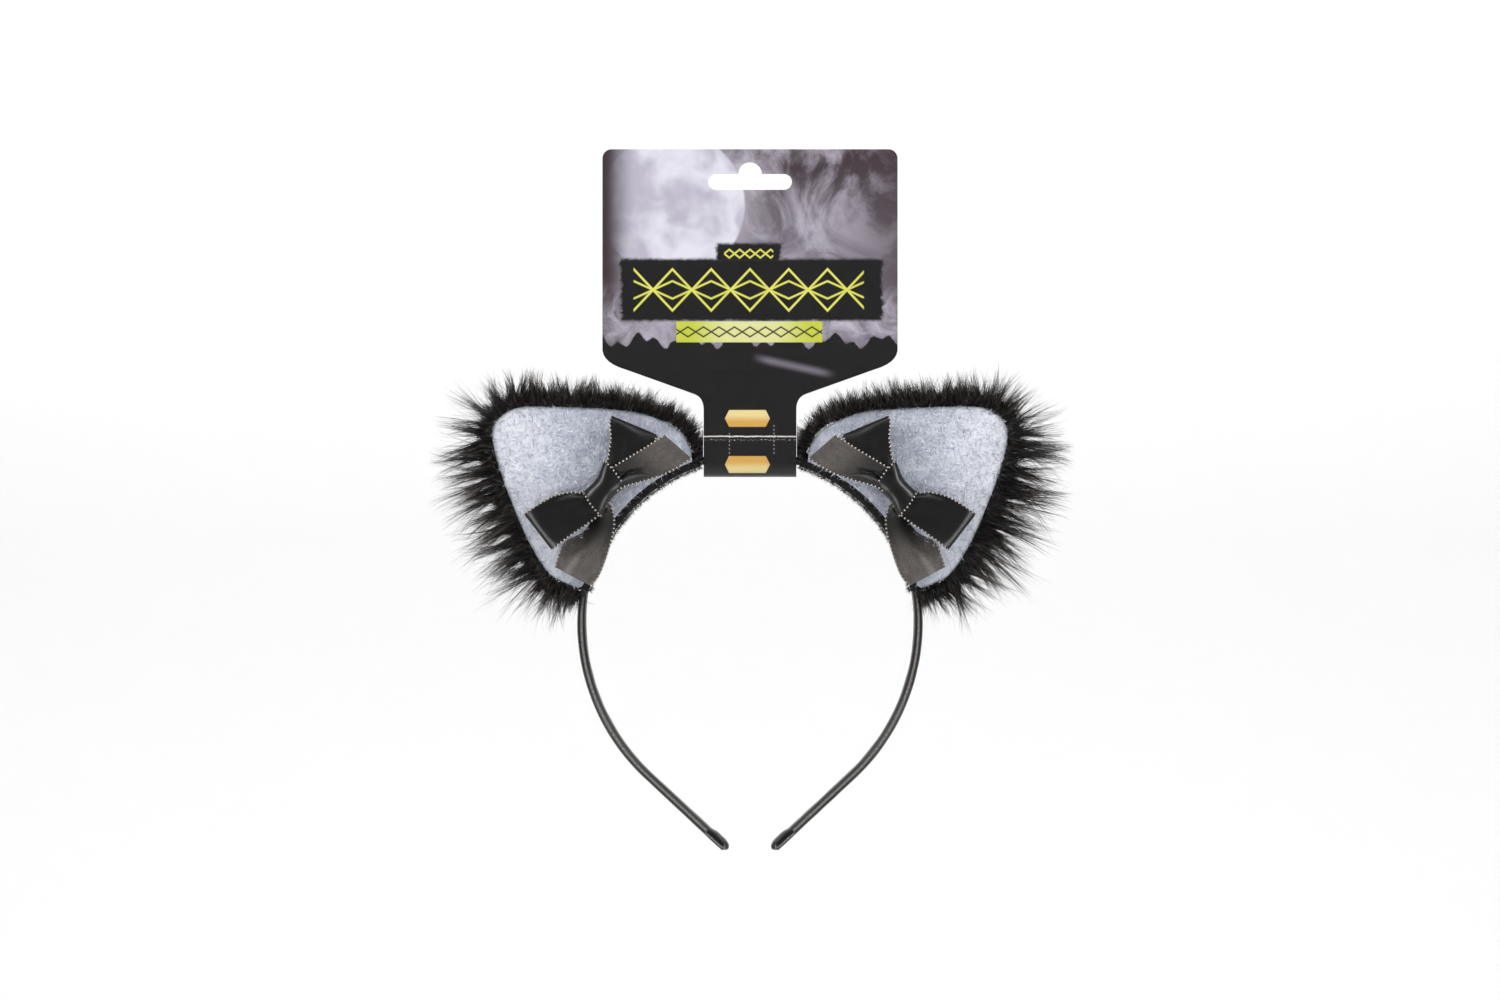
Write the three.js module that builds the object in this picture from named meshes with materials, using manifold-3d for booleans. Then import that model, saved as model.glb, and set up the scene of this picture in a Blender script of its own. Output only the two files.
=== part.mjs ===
// Animal ears headband: a ribbon-wrapped springy hoop with two furry ears, each with a satin bow,
// and the folded hang card that its crown is sold in.
//
// Frame: millimetres, +Z up, the front faces -Y and +X is to the right as seen from the front.
// Origin: the middle of the band's inner face at the crown, the point that rests on top of a head.

import * as THREE from "three";
import { mergeVertices } from "three/addons/utils/BufferGeometryUtils.js";
import Module from "manifold-3d";

const wasm = await Module();
wasm.setup();

// ---------------------------------------------------------------- driving dimensions

const GAP = 0.3; // room left between pieces that touch
const DEGREE = Math.PI / 180;

// The band, measured along the middle of its thickness.
const CROWN_RADIUS = 65.2;
const LEG_RADIUS = 81;
const LEG_SWEEP = 47 * DEGREE;
const LEG_STRAIGHT = 42;
const WRAP_WIDTH = 7.4; // across the band, along Y
const WRAP_THICKNESS = 2.9;
const WRAP_WALL = 0.4;
const FLEX_ANGLE = 88 * DEGREE; // where each leg flexes, measured from the crown
const FLEX_GAP = 0.8; // lets the end faces turn past each other
const CROWN_STEPS = 33; // odd, so that a flat facet lies across the crown's middle
const SEAT_RADIUS = (CROWN_RADIUS - WRAP_THICKNESS / 2) * Math.cos(FLEX_ANGLE / CROWN_STEPS);
const HOOP_Z = -SEAT_RADIUS; // height of the hoop's centre

// The gathered satin cap on each tip.
const CAP_LENGTH = 11;
const CAP_WALL = 0.45;
const CAP_COVER = 0.8; // satin beyond the band's end

// The furry hem that wraps the band under each ear, and the ear's place on the hoop.
const EAR_ANGLE = 50 * DEGREE; // from the crown to the ear's middle line
const HEM_FROM = 17.5 * DEGREE;
const HEM_TO = 80 * DEGREE;
const HEM_WALL = 0.9;
const HEM_TOP = 4.3; // seam allowance above the band's middle

// The ear, in its own frame: u along the band towards the crown, v out from the hoop's centre,
// w backwards. The felt's outline, from the crown side over the tip to the outer side, as [u, v].
const FELT_OUTLINE = [
  [36.9, 60.7],
  [39.3, 68],
  [37.6, 77.1],
  [33.6, 86.4],
  [25, 99],
  [14.5, 112.5],
  [6.4, 121.7],
  [-1, 124.8],
  [-7, 123.8],
  [-12.5, 118.2],
  [-19, 108.4],
  [-27.6, 92.5],
  [-32.5, 81.5],
  [-35.2, 70.5],
  [-32.5, 59.5],
];
// The outer limit of the dense pile, from the crown side over the tip to the outer side.
const PILE_OUTLINE = [
  [40.5, 59.5],
  [44.5, 70],
  [41.5, 84],
  [33, 101],
  [23, 118],
  [10, 132],
  [-6, 137.5],
  [-20, 132],
  [-30, 118],
  [-39, 102],
  [-46, 88],
  [-46, 76],
  [-42, 65],
  [-38, 57],
];
const OUTLINE_STEPS = 40;
const BASE_CUT = 50; // every outline runs down to this v before the base is cut to the band's curve
const FELT_BASE = 66; // radius of the felt's base about the hoop's centre: it laps over the hem
const PILE_BASE = CROWN_RADIUS + HEM_TOP + 0.6; // the fur and the wadding stand on the hem
const FELT_FRONT = -6.4;
const FELT_BACK = -5.2;
const WADDING_FRONT = -4.9;
const WADDING_BACK = 1.4;
const WADDING_INSET = -2.5;
const MARGIN_FRONT = -6;
const PILE_BACK = 7.6;

// The bow, around its knot.
const RIBBON = 0.6; // thickness of the doubled satin ribbon
const RIBBON_WIDTH = 17;
const KNOT_U = 3;
const KNOT_V = 75.5;
const KNOT_LENGTH = 11;
const KNOT_HEIGHT = 13;
const KNOT_FRONT = -15.6;
const KNOT_BACK = FELT_FRONT - GAP;
const LOOP_LIFT = 17 * DEGREE; // the loops point a little away from the band
const TAIL_DROP = 21 * DEGREE; // the tails point towards it
const LOOP_SECTION = [
  [7.5, -11.6],
  [12, -12.9],
  [20, -13.4],
  [25, -12.7],
  [27.4, -10.6],
  [25, -8.5],
  [20, -7.8],
  [12, -8],
  [7.5, -9.2],
];
const TAIL_FROM = 8.2;
const TAIL_TO = 32.5;
const TAIL_HALF = 7.4;
const TAIL_PINCH = 3.6;

// The hang card.
const CARD_HALF = 57.1;
const CARD_TOP = 119.4;
const CARD_SIDE_END = 38.5;
const CARD_CORNER = 3.5;
const CARD_SHOULDER = [48.2, 34.2];
const CARD_NECK_CORNER = [21.6, 24.7];
const CARD_NECK_TOP = 18.5;
const CARD_NECK_HALF = 17.9;
const CARD_THICKNESS = 0.45;
const CARD_LOOP_HALF = 5.4; // from the band's middle to the card's, so that the band can turn in the loop
const CARD_LOOP_TOP = 8;
const CARD_LOOP_BOTTOM = -1.8;
const CARD_JOIN = 34; // above this the two panels lie together
const CARD_PANEL_Y = 0.4;
const SLOT_HALF = 16.2;
const SLOT_FROM = 103.7;
const SLOT_TO = 109.8;
const SLOT_BUMP = 4.55;

// ---------------------------------------------------------------- materials

const material = (color, roughness, metalness = 0) =>
  new THREE.MeshStandardMaterial({ color, roughness, metalness });
const MATERIALS = {
  plastic: material(0x2a2a2c, 0.5),
  wrapSatin: material(0x1a1917, 0.35),
  fur: material(0x0f0d0d, 0.9),
  felt: material(0xb9bdcb, 0.95),
  wadding: material(0xe8e8e6, 1),
  ribbonSatin: material(0x1c1b1a, 0.3),
  card: material(0x2a2629, 0.45),
};

// ---------------------------------------------------------------- helpers

function solid(geometry) {
  const bare = geometry.clone();
  bare.deleteAttribute("normal");
  bare.deleteAttribute("uv");
  const merged = mergeVertices(bare, 1e-4);
  return new wasm.Manifold(
    new wasm.Mesh({
      numProp: 3,
      vertProperties: new Float32Array(merged.attributes.position.array),
      triVerts: new Uint32Array(merged.index.array),
    }),
  );
}

function geometryOf(manifold) {
  const mesh = manifold.getMesh();
  const geometry = new THREE.BufferGeometry();
  geometry.setAttribute("position", new THREE.BufferAttribute(mesh.vertProperties, 3));
  geometry.setIndex(new THREE.BufferAttribute(mesh.triVerts, 1));
  geometry.computeVertexNormals();
  return geometry;
}

function piece(name, geometry, look) {
  const mesh = new THREE.Mesh(geometry, look);
  mesh.name = name;
  return mesh;
}

const vectors = (pairs) => pairs.map(([x, y]) => new THREE.Vector2(x, y));

// Moves each point of a closed, anticlockwise outline outwards, or inwards where distance is negative.
function offset(points, distance) {
  const n = points.length;
  return points.map((point, i) => {
    const along = points[(i + 1) % n].clone().sub(points[(i + n - 1) % n]).normalize();
    return new THREE.Vector2(point.x + along.y * distance, point.y - along.x * distance);
  });
}

function roundedRectangle(width, height, radius, low = -height / 2) {
  const [w, h] = [width / 2, low + height];
  const shape = new THREE.Shape();
  shape.absarc(w - radius, low + radius, radius, -Math.PI / 2, 0);
  shape.absarc(w - radius, h - radius, radius, 0, Math.PI / 2);
  shape.absarc(-w + radius, h - radius, radius, Math.PI / 2, Math.PI);
  shape.absarc(-w + radius, low + radius, radius, Math.PI, 1.5 * Math.PI);
  return shape;
}

// ---------------------------------------------------------------- band

const CROWN_QUARTER = (CROWN_RADIUS * Math.PI) / 2;
const LEG_ARC = LEG_RADIUS * LEG_SWEEP;
const BAND_HALF = CROWN_QUARTER + LEG_ARC + LEG_STRAIGHT;

// The point on the band's middle line at a distance s from the crown, positive on the right.
function bandPoint(s) {
  const side = Math.sign(s) || 1;
  const a = Math.abs(s);
  const arc = Math.min(Math.max(a - CROWN_QUARTER, 0), LEG_ARC) / LEG_RADIUS;
  const straight = Math.max(a - CROWN_QUARTER - LEG_ARC, 0);
  const crown = Math.min(a, CROWN_QUARTER) / CROWN_RADIUS;
  const x =
    CROWN_RADIUS * Math.sin(crown) + LEG_RADIUS * (Math.cos(arc) - 1) - straight * Math.sin(LEG_SWEEP);
  const z =
    HOOP_Z + CROWN_RADIUS * Math.cos(crown) - LEG_RADIUS * Math.sin(arc) - straight * Math.cos(LEG_SWEEP);
  return new THREE.Vector3(side * x, 0, z);
}

// A stretch of the band as a curve. Running from right to left puts a section's +y outside the hoop.
class BandStretch extends THREE.Curve {
  constructor(from, to) {
    super();
    this.from = from;
    this.to = to;
  }
  getPoint(t) {
    return bandPoint(this.from + (this.to - this.from) * t);
  }
}

function swept(section, from, to, steps, curveSegments) {
  const extrudePath = new BandStretch(from, to);
  return new THREE.ExtrudeGeometry(section, { extrudePath, steps, curveSegments });
}

const CORE_WIDTH = WRAP_WIDTH - 2 * (WRAP_WALL + GAP);
const CORE_THICKNESS = WRAP_THICKNESS - 2 * (WRAP_WALL + GAP);

function coreSection() {
  return roundedRectangle(CORE_WIDTH, CORE_THICKNESS, 0.5);
}

function wrapSection() {
  const section = roundedRectangle(WRAP_WIDTH, WRAP_THICKNESS, 1.3);
  const cavity = [WRAP_WIDTH - 2 * WRAP_WALL, WRAP_THICKNESS - 2 * WRAP_WALL];
  section.holes.push(roundedRectangle(...cavity, 0.6));
  return section;
}

function hemSection() {
  const [width, thickness] = [WRAP_WIDTH + 2 * GAP, WRAP_THICKNESS + 2 * GAP];
  const low = -thickness / 2 - HEM_WALL;
  const section = roundedRectangle(width + 2 * HEM_WALL, HEM_TOP - low, 1.6, low);
  section.holes.push(roundedRectangle(width, thickness, 1.4));
  return section;
}

const FLEX_AT = CROWN_RADIUS * FLEX_ANGLE;

function crownPieces() {
  const end = FLEX_AT - FLEX_GAP / 2;
  return [
    piece("band_core_crown", swept(coreSection(), end, -end, CROWN_STEPS, 1), MATERIALS.plastic),
    piece("band_wrap_crown", swept(wrapSection(), end, -end, CROWN_STEPS, 2), MATERIALS.wrapSatin),
  ];
}

function hem(side) {
  const [from, to] = [CROWN_RADIUS * HEM_FROM, CROWN_RADIUS * HEM_TO];
  const ends = side === "right" ? [to, from] : [-from, -to];
  return piece(`${side}_ear_hem`, swept(hemSection(), ...ends, 11, 3), MATERIALS.fur);
}

// A thimble of satin over the band's tip: a lathed cup, flattened to the band's section.
function tipCap(side) {
  const outer = WRAP_WIDTH / 2 + 2 * CAP_WALL + GAP;
  const inner = outer - CAP_WALL;
  const bore = CAP_LENGTH - CAP_COVER - CAP_WALL;
  const profile = [
    [0, bore],
    [inner * 0.96, bore - 0.6],
    [inner, CAP_LENGTH - 3.8],
    [inner * 0.96, 0],
    [outer * 0.94, 0],
    [outer * 0.98, 4],
    [outer, CAP_LENGTH - 3.6],
    [outer * 0.88, CAP_LENGTH - 1.6],
    [outer * 0.55, CAP_LENGTH - 0.35],
    [0, CAP_LENGTH],
    [0, bore],
  ];
  const geometry = new THREE.LatheGeometry(vectors(profile), 20);
  const flatness = (WRAP_THICKNESS / 2 + CAP_WALL + GAP + 0.15) / outer;
  geometry.scale(1, 1, flatness);
  const cap = piece(`${side}_tip_cap`, geometry, MATERIALS.wrapSatin);
  const sign = side === "right" ? 1 : -1;
  const mouth = bandPoint(sign * (BAND_HALF - CAP_LENGTH));
  const tip = bandPoint(sign * BAND_HALF);
  const along = tip.clone().sub(mouth).normalize();
  const across = new THREE.Vector3(0, 1, 0);
  const through = new THREE.Vector3().crossVectors(across, along);
  cap.quaternion.setFromRotationMatrix(new THREE.Matrix4().makeBasis(across, along, through));
  cap.position.copy(mouth);
  return cap;
}

function legPieces(side) {
  const sign = side === "right" ? 1 : -1;
  const from = sign * (FLEX_AT + FLEX_GAP / 2);
  const to = sign * (BAND_HALF - CAP_COVER - CAP_WALL - 2 * GAP);
  const ends = side === "right" ? [to, from] : [from, to];
  return [
    piece(`${side}_leg_core`, swept(coreSection(), ...ends, 17, 1), MATERIALS.plastic),
    piece(`${side}_leg_wrap`, swept(wrapSection(), ...ends, 17, 2), MATERIALS.wrapSatin),
    tipCap(side),
  ];
}

// ---------------------------------------------------------------- ears

// A closed outline through the given points, run down past the band so that its base can be cut.
function earOutline(points, grow = 0) {
  const curve = new THREE.SplineCurve(points);
  const edge = [];
  for (let i = 0; i <= OUTLINE_STEPS; i++) {
    const at = curve.getPointAt(i / OUTLINE_STEPS);
    const along = curve.getTangentAt(i / OUTLINE_STEPS);
    edge.push(new THREE.Vector2(at.x + along.y * grow, at.y - along.x * grow));
  }
  const [first, last] = [edge[0], edge.at(-1)];
  return [new THREE.Vector2(first.x, BASE_CUT), ...edge, new THREE.Vector2(last.x, BASE_CUT)];
}

const feltOutline = (grow) => earOutline(vectors(FELT_OUTLINE), grow);
const pileOutline = (grow) => earOutline(vectors(PILE_OUTLINE), grow);

// An extrusion from one w to another, with its rim rounded off by the given bevel.
function slab(shape, front, back, bevel = 0, bevelSegments = 2) {
  const geometry = new THREE.ExtrudeGeometry(shape, {
    depth: back - front - 2 * bevel,
    bevelEnabled: bevel > 0,
    bevelThickness: bevel,
    bevelSize: bevel,
    bevelOffset: -bevel,
    bevelSegments,
    curveSegments: 6,
  });
  return geometry.translate(0, 0, front + bevel);
}

function cutAway(geometry, ...tools) {
  const left = tools.reduce((body, tool) => body.subtract(solid(tool)), solid(geometry));
  return geometryOf(left);
}

function bandDisc(radius) {
  return new THREE.CylinderGeometry(radius, radius, 60, 72).rotateX(Math.PI / 2);
}

function earPieces(side) {
  const pile = new THREE.Shape(pileOutline(0));
  const furBack = slab(pile, WADDING_BACK + GAP, PILE_BACK, 3.4, 3);
  const furMargin = slab(new THREE.Shape(pileOutline(-0.6)), MARGIN_FRONT, WADDING_BACK);
  const window = slab(new THREE.Shape(feltOutline(GAP)), MARGIN_FRONT - 1, WADDING_BACK + 1);
  const felt = slab(new THREE.Shape(feltOutline(0)), FELT_FRONT, FELT_BACK);
  const wadding = slab(new THREE.Shape(feltOutline(WADDING_INSET)), WADDING_FRONT, WADDING_BACK);
  const [pileBase, feltBase] = [bandDisc(PILE_BASE), bandDisc(FELT_BASE)];
  return [
    piece(`${side}_ear_fur_back`, cutAway(furBack, pileBase), MATERIALS.fur),
    piece(`${side}_ear_fur_margin`, cutAway(furMargin, window, pileBase), MATERIALS.fur),
    piece(`${side}_ear_felt`, cutAway(felt, feltBase), MATERIALS.felt),
    piece(`${side}_ear_wadding`, cutAway(wadding, pileBase), MATERIALS.wadding),
  ];
}

// ---------------------------------------------------------------- bows

// Narrows a ribbon piece, whose length is x and width is y, towards the knot.
function pinch(geometry, from, to, least) {
  const position = geometry.attributes.position;
  for (let i = 0; i < position.count; i++) {
    const share = THREE.MathUtils.smoothstep(position.getX(i), from, to);
    position.setY(i, position.getY(i) * THREE.MathUtils.lerp(least, 1, share));
  }
  return geometry;
}

// A ribbon loop: its closed section, seen from the side, pushed through the ribbon's width.
function bowLoop() {
  const curve = new THREE.SplineCurve(vectors([...LOOP_SECTION, LOOP_SECTION[0]]));
  const outer = curve.getSpacedPoints(22).slice(0, -1);
  const section = new THREE.Shape(outer);
  section.holes.push(new THREE.Path(offset(outer, -RIBBON)));
  const geometry = new THREE.ExtrudeGeometry(section, { depth: RIBBON_WIDTH, bevelEnabled: false });
  geometry.translate(0, 0, -RIBBON_WIDTH / 2);
  // x stays the length, the section's y becomes w and the extrusion becomes the width.
  geometry.rotateX(Math.PI / 2);
  return pinch(geometry, LOOP_SECTION[0][0], 19, 0.5);
}

// A tail: a flat strip with a slanted cut end, leaving the knot at depth w and ending at depth wEnd.
function bowTail(slant, w, wEnd) {
  const shape = new THREE.Shape(
    vectors([
      [TAIL_FROM, -TAIL_PINCH],
      [TAIL_FROM + 8, -TAIL_HALF],
      [TAIL_TO - slant, -TAIL_HALF],
      [TAIL_TO + slant, TAIL_HALF],
      [TAIL_FROM + 8, TAIL_HALF],
      [TAIL_FROM, TAIL_PINCH],
    ]),
  );
  const geometry = new THREE.ExtrudeGeometry(shape, { depth: RIBBON, bevelEnabled: false });
  const position = geometry.attributes.position;
  for (let i = 0; i < position.count; i++) {
    const share = (position.getX(i) - TAIL_FROM) / (TAIL_TO - TAIL_FROM);
    position.setZ(i, position.getZ(i) + THREE.MathUtils.lerp(w, wEnd, share));
  }
  return geometry;
}

// The knot: an oval section pushed along the bow, with its ends rounded over.
function bowKnot() {
  const [half, depth] = [KNOT_HEIGHT / 2, (KNOT_BACK - KNOT_FRONT) / 2];
  const oval = new THREE.Shape();
  oval.absellipse(0, 0, half, depth, 0, 2 * Math.PI);
  const geometry = slab(oval, -KNOT_LENGTH / 2, KNOT_LENGTH / 2, 1.2, 2);
  // The extrusion becomes the bow's length and the oval's y becomes w.
  geometry.applyMatrix4(
    new THREE.Matrix4().makeBasis(
      new THREE.Vector3(0, 1, 0),
      new THREE.Vector3(0, 0, 1),
      new THREE.Vector3(1, 0, 0),
    ),
  );
  return geometry.translate(0, 0, (KNOT_BACK + KNOT_FRONT) / 2);
}

function bowPieces(side) {
  const bow = new THREE.Group();
  bow.position.set(KNOT_U, KNOT_V, 0);
  const upperLoop = piece(`${side}_bow_upper_loop`, bowLoop(), MATERIALS.ribbonSatin);
  upperLoop.rotation.z = LOOP_LIFT;
  const lowerLoop = piece(`${side}_bow_lower_loop`, bowLoop(), MATERIALS.ribbonSatin);
  lowerLoop.scale.x = -1;
  lowerLoop.rotation.z = -LOOP_LIFT;
  // The upper tail crosses in front of its loop, and the lower one lies behind its loop.
  const upperTail = piece(`${side}_bow_upper_tail`, bowTail(-1.5, -14.6, -14.3), MATERIALS.ribbonSatin);
  upperTail.rotation.z = -TAIL_DROP;
  const lowerTail = piece(`${side}_bow_lower_tail`, bowTail(-1.5, -7.35, -7.35), MATERIALS.ribbonSatin);
  lowerTail.scale.x = -1;
  lowerTail.rotation.z = TAIL_DROP;
  bow.add(upperLoop, lowerLoop, upperTail, lowerTail);
  bow.add(piece(`${side}_bow_knot`, bowKnot(), MATERIALS.ribbonSatin));
  return bow;
}

// An ear with its bow, in the ear's frame on the right of the hoop. The left ear is its mirror image.
function ear(side) {
  const frame = new THREE.Group();
  const u = new THREE.Vector3(-Math.cos(EAR_ANGLE), 0, Math.sin(EAR_ANGLE));
  const v = new THREE.Vector3(Math.sin(EAR_ANGLE), 0, Math.cos(EAR_ANGLE));
  const w = new THREE.Vector3(0, 1, 0);
  frame.quaternion.setFromRotationMatrix(new THREE.Matrix4().makeBasis(u, v, w));
  frame.position.z = HOOP_Z;
  frame.add(...earPieces(side), bowPieces(side));
  const mirror = new THREE.Group();
  mirror.scale.x = side === "right" ? 1 : -1;
  mirror.add(frame);
  return mirror;
}

// ---------------------------------------------------------------- hang card

function hangSlot() {
  const end = (SLOT_TO - SLOT_FROM) / 2;
  const middle = SLOT_FROM + end;
  const path = new THREE.Path();
  path.absarc(SLOT_HALF - end, middle, end, -Math.PI / 2, Math.PI / 2);
  path.absarc(0, SLOT_TO, SLOT_BUMP, 0, Math.PI);
  path.absarc(-SLOT_HALF + end, middle, end, Math.PI / 2, 1.5 * Math.PI);
  return path;
}

// The card's front outline in x and z, from the bottom of the neck round to the left side.
function cardOutline() {
  const shape = new THREE.Shape();
  const below = CARD_LOOP_BOTTOM - CARD_LOOP_HALF - 2;
  const [shoulderX, shoulderZ] = CARD_SHOULDER;
  const [neckX, neckZ] = CARD_NECK_CORNER;
  shape.moveTo(CARD_NECK_HALF, below);
  shape.lineTo(CARD_NECK_HALF, CARD_NECK_TOP);
  shape.quadraticCurveTo(CARD_NECK_HALF, neckZ - 1.3, neckX, neckZ);
  shape.lineTo(shoulderX, shoulderZ);
  shape.quadraticCurveTo(CARD_HALF - 0.6, 36.6, CARD_HALF, CARD_SIDE_END + 3);
  shape.absarc(CARD_HALF - CARD_CORNER, CARD_TOP - CARD_CORNER, CARD_CORNER, 0, Math.PI / 2);
  shape.absarc(-CARD_HALF + CARD_CORNER, CARD_TOP - CARD_CORNER, CARD_CORNER, Math.PI / 2, Math.PI);
  shape.lineTo(-CARD_HALF, CARD_SIDE_END + 3);
  shape.quadraticCurveTo(-CARD_HALF + 0.6, 36.6, -shoulderX, shoulderZ);
  shape.lineTo(-neckX, neckZ);
  shape.quadraticCurveTo(-CARD_NECK_HALF, neckZ - 1.3, -CARD_NECK_HALF, CARD_NECK_TOP);
  shape.lineTo(-CARD_NECK_HALF, below);
  shape.holes.push(hangSlot());
  return shape;
}

// The folded sheet seen from the side, in y and z: down the front, under the band and up the back.
function foldedSection() {
  const half = CARD_THICKNESS / 2;
  const [top, bottom] = [CARD_TOP + 1, CARD_LOOP_BOTTOM];
  const [outerLoop, innerLoop] = [CARD_LOOP_HALF + half, CARD_LOOP_HALF - half];
  const [outerPanel, innerPanel] = [CARD_PANEL_Y + half, CARD_PANEL_Y - half];
  const shape = new THREE.Shape();
  shape.moveTo(-outerPanel, top);
  shape.lineTo(-outerPanel, CARD_JOIN);
  shape.lineTo(-outerLoop, CARD_LOOP_TOP);
  shape.absarc(0, bottom, outerLoop, Math.PI, 2 * Math.PI);
  shape.lineTo(outerLoop, CARD_LOOP_TOP);
  shape.lineTo(outerPanel, CARD_JOIN);
  shape.lineTo(outerPanel, top);
  shape.lineTo(innerPanel, top);
  shape.lineTo(innerPanel, CARD_JOIN);
  shape.lineTo(innerLoop, CARD_LOOP_TOP);
  shape.absarc(0, bottom, innerLoop, 0, -Math.PI, true);
  shape.lineTo(-innerLoop, CARD_LOOP_TOP);
  shape.lineTo(-innerPanel, CARD_JOIN);
  shape.lineTo(-innerPanel, top);
  return shape;
}

function hangCard() {
  const [x, y, z] = [new THREE.Vector3(1, 0, 0), new THREE.Vector3(0, 1, 0), new THREE.Vector3(0, 0, 1)];
  const width = 2 * CARD_HALF + 4;
  const sheet = new THREE.ExtrudeGeometry(foldedSection(), {
    depth: width,
    bevelEnabled: false,
    curveSegments: 8,
  });
  sheet.translate(0, 0, -width / 2);
  sheet.applyMatrix4(new THREE.Matrix4().makeBasis(y, z, x));
  const depth = 4 * CARD_LOOP_HALF;
  const outline = new THREE.ExtrudeGeometry(cardOutline(), { depth, bevelEnabled: false, curveSegments: 6 });
  outline.translate(0, 0, -depth / 2);
  outline.applyMatrix4(new THREE.Matrix4().makeBasis(x, z, y.clone().negate()));
  return piece("hang_card", geometryOf(solid(sheet).intersect(solid(outline))), MATERIALS.card);
}

// ---------------------------------------------------------------- assembly

const headband = new THREE.Group();
headband.add(...crownPieces(), hangCard());
for (const side of ["left", "right"]) {
  headband.add(hem(side), ...legPieces(side), ear(side));
}

export default headband;
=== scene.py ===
"""Animal ears headband: a satin-wrapped hoop with two furry ears and satin bows, in its folded hang card.

Lengths in this file are millimetres until a mesh is made. The shared frame is +Z up, the front faces
-Y, +X is to the right from the front, and the origin is the crown's inner face. An ear is built in its
own frame (u, v, w): u along the band towards the crown, v out from the hoop's centre, w backwards.
"""

import math

import bpy
import numpy as np
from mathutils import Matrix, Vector


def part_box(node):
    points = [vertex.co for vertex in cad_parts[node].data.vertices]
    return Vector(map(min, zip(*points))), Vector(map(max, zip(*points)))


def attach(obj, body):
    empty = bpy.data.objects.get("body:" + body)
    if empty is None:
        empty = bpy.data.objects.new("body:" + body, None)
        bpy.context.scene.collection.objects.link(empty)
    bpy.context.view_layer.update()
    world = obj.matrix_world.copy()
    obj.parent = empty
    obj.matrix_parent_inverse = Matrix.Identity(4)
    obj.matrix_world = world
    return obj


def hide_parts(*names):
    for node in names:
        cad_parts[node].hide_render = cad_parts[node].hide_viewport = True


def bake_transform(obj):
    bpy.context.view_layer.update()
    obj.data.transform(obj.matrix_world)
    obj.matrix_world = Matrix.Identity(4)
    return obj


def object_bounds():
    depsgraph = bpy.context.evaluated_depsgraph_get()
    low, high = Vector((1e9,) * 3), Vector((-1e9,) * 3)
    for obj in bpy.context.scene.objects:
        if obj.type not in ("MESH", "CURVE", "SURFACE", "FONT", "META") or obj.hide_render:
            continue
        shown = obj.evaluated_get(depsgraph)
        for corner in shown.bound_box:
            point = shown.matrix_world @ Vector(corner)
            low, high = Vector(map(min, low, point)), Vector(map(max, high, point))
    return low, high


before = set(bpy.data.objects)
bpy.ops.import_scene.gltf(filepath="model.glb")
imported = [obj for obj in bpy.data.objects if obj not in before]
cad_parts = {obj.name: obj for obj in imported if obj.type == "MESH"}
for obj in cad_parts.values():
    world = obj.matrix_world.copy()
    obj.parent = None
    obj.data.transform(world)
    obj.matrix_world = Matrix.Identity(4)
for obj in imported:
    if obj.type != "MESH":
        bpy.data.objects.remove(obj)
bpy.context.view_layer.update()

MM = 0.001
SIDES = {"left": -1, "right": 1}

# ---------------------------------------------------------------- the band's size, the same as the CAD's

wrap_low, wrap_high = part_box("band_wrap_crown")
BAND_THICKNESS = 2.9  # the strip with its satin, at the crown
BAND_WIDTH = (wrap_high.y - wrap_low.y) / MM
BAND_RADIUS = wrap_high.x / MM - BAND_THICKNESS / 2
HOOP_Z = wrap_high.z / MM - BAND_RADIUS - BAND_THICKNESS / 2
# Each leg goes on from the crown's half circle with an arc, and ends straight.
LEG_RADIUS = 81
LEG_SWEEP = math.radians(47)
LEG_STRAIGHT = 42
CROWN_QUARTER = BAND_RADIUS * math.pi / 2
LEG_ARC = LEG_RADIUS * LEG_SWEEP
BAND_HALF = CROWN_QUARTER + LEG_ARC + LEG_STRAIGHT
CAP_LENGTH = 11
WRAP_SPLIT = math.radians(76)
WRAP_LAP = 2  # how far the crown's satin runs past the split, under the leg's
PICOT = 1.6  # spacing of the loops along a ribbon's stitched edge
BAND_FRONT = BAND_WIDTH + BAND_THICKNESS  # where the front edge lies, measured round the band
HEM_FROM = math.radians(17.5)
HEM_TO = math.radians(79)

# ---------------------------------------------------------------- the ears' outlines, in u and v

EAR_ANGLE = math.radians(50)  # how far the ear's middle lies round the hoop from the crown
FELT_OUTLINE = [
    (36.9, 60.7), (39.3, 68), (37.6, 77.1), (33.6, 86.4), (25, 99), (14.5, 112.5), (6.4, 121.7),
    (-1, 124.8), (-7, 123.8), (-12.5, 118.2), (-19, 108.4), (-27.6, 92.5), (-32.5, 81.5),
    (-35.2, 70.5), (-32.5, 59.5),
]
FELT_BASE = 66.0  # the radius of the felt's lower edge, which follows the hoop
PILE_BASE = 68.5
FELT_W, SEAM_W, BACK_W = -6.4, 0.6, 7.6  # where the ear's front, its side seam and its back lie


def smooth_curve(points, count):
    """A spline through the points, resampled to count points evenly along its length."""
    p = np.array(points, float)
    ends = np.vstack([2 * p[0] - p[1], p, 2 * p[-1] - p[-2]])
    t = np.linspace(0, 1, 24, endpoint=False)[:, None]
    fine = []
    for i in range(len(p) - 1):
        a, b, c, d = ends[i : i + 4]
        fine.append(
            0.5 * (2 * b + (c - a) * t + (2 * a - 5 * b + 4 * c - d) * t**2 + (3 * b - a - 3 * c + d) * t**3)
        )
    fine = np.vstack([*fine, p[-1:]])
    return resample(fine, count)


def resample(line, count):
    """count points evenly spaced along a polyline."""
    step = np.linalg.norm(np.diff(line, axis=0), axis=1)
    at = np.concatenate([[0], np.cumsum(step)])
    want = np.linspace(0, at[-1], count)
    return np.stack([np.interp(want, at, line[:, k]) for k in range(line.shape[1])], 1)


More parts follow.
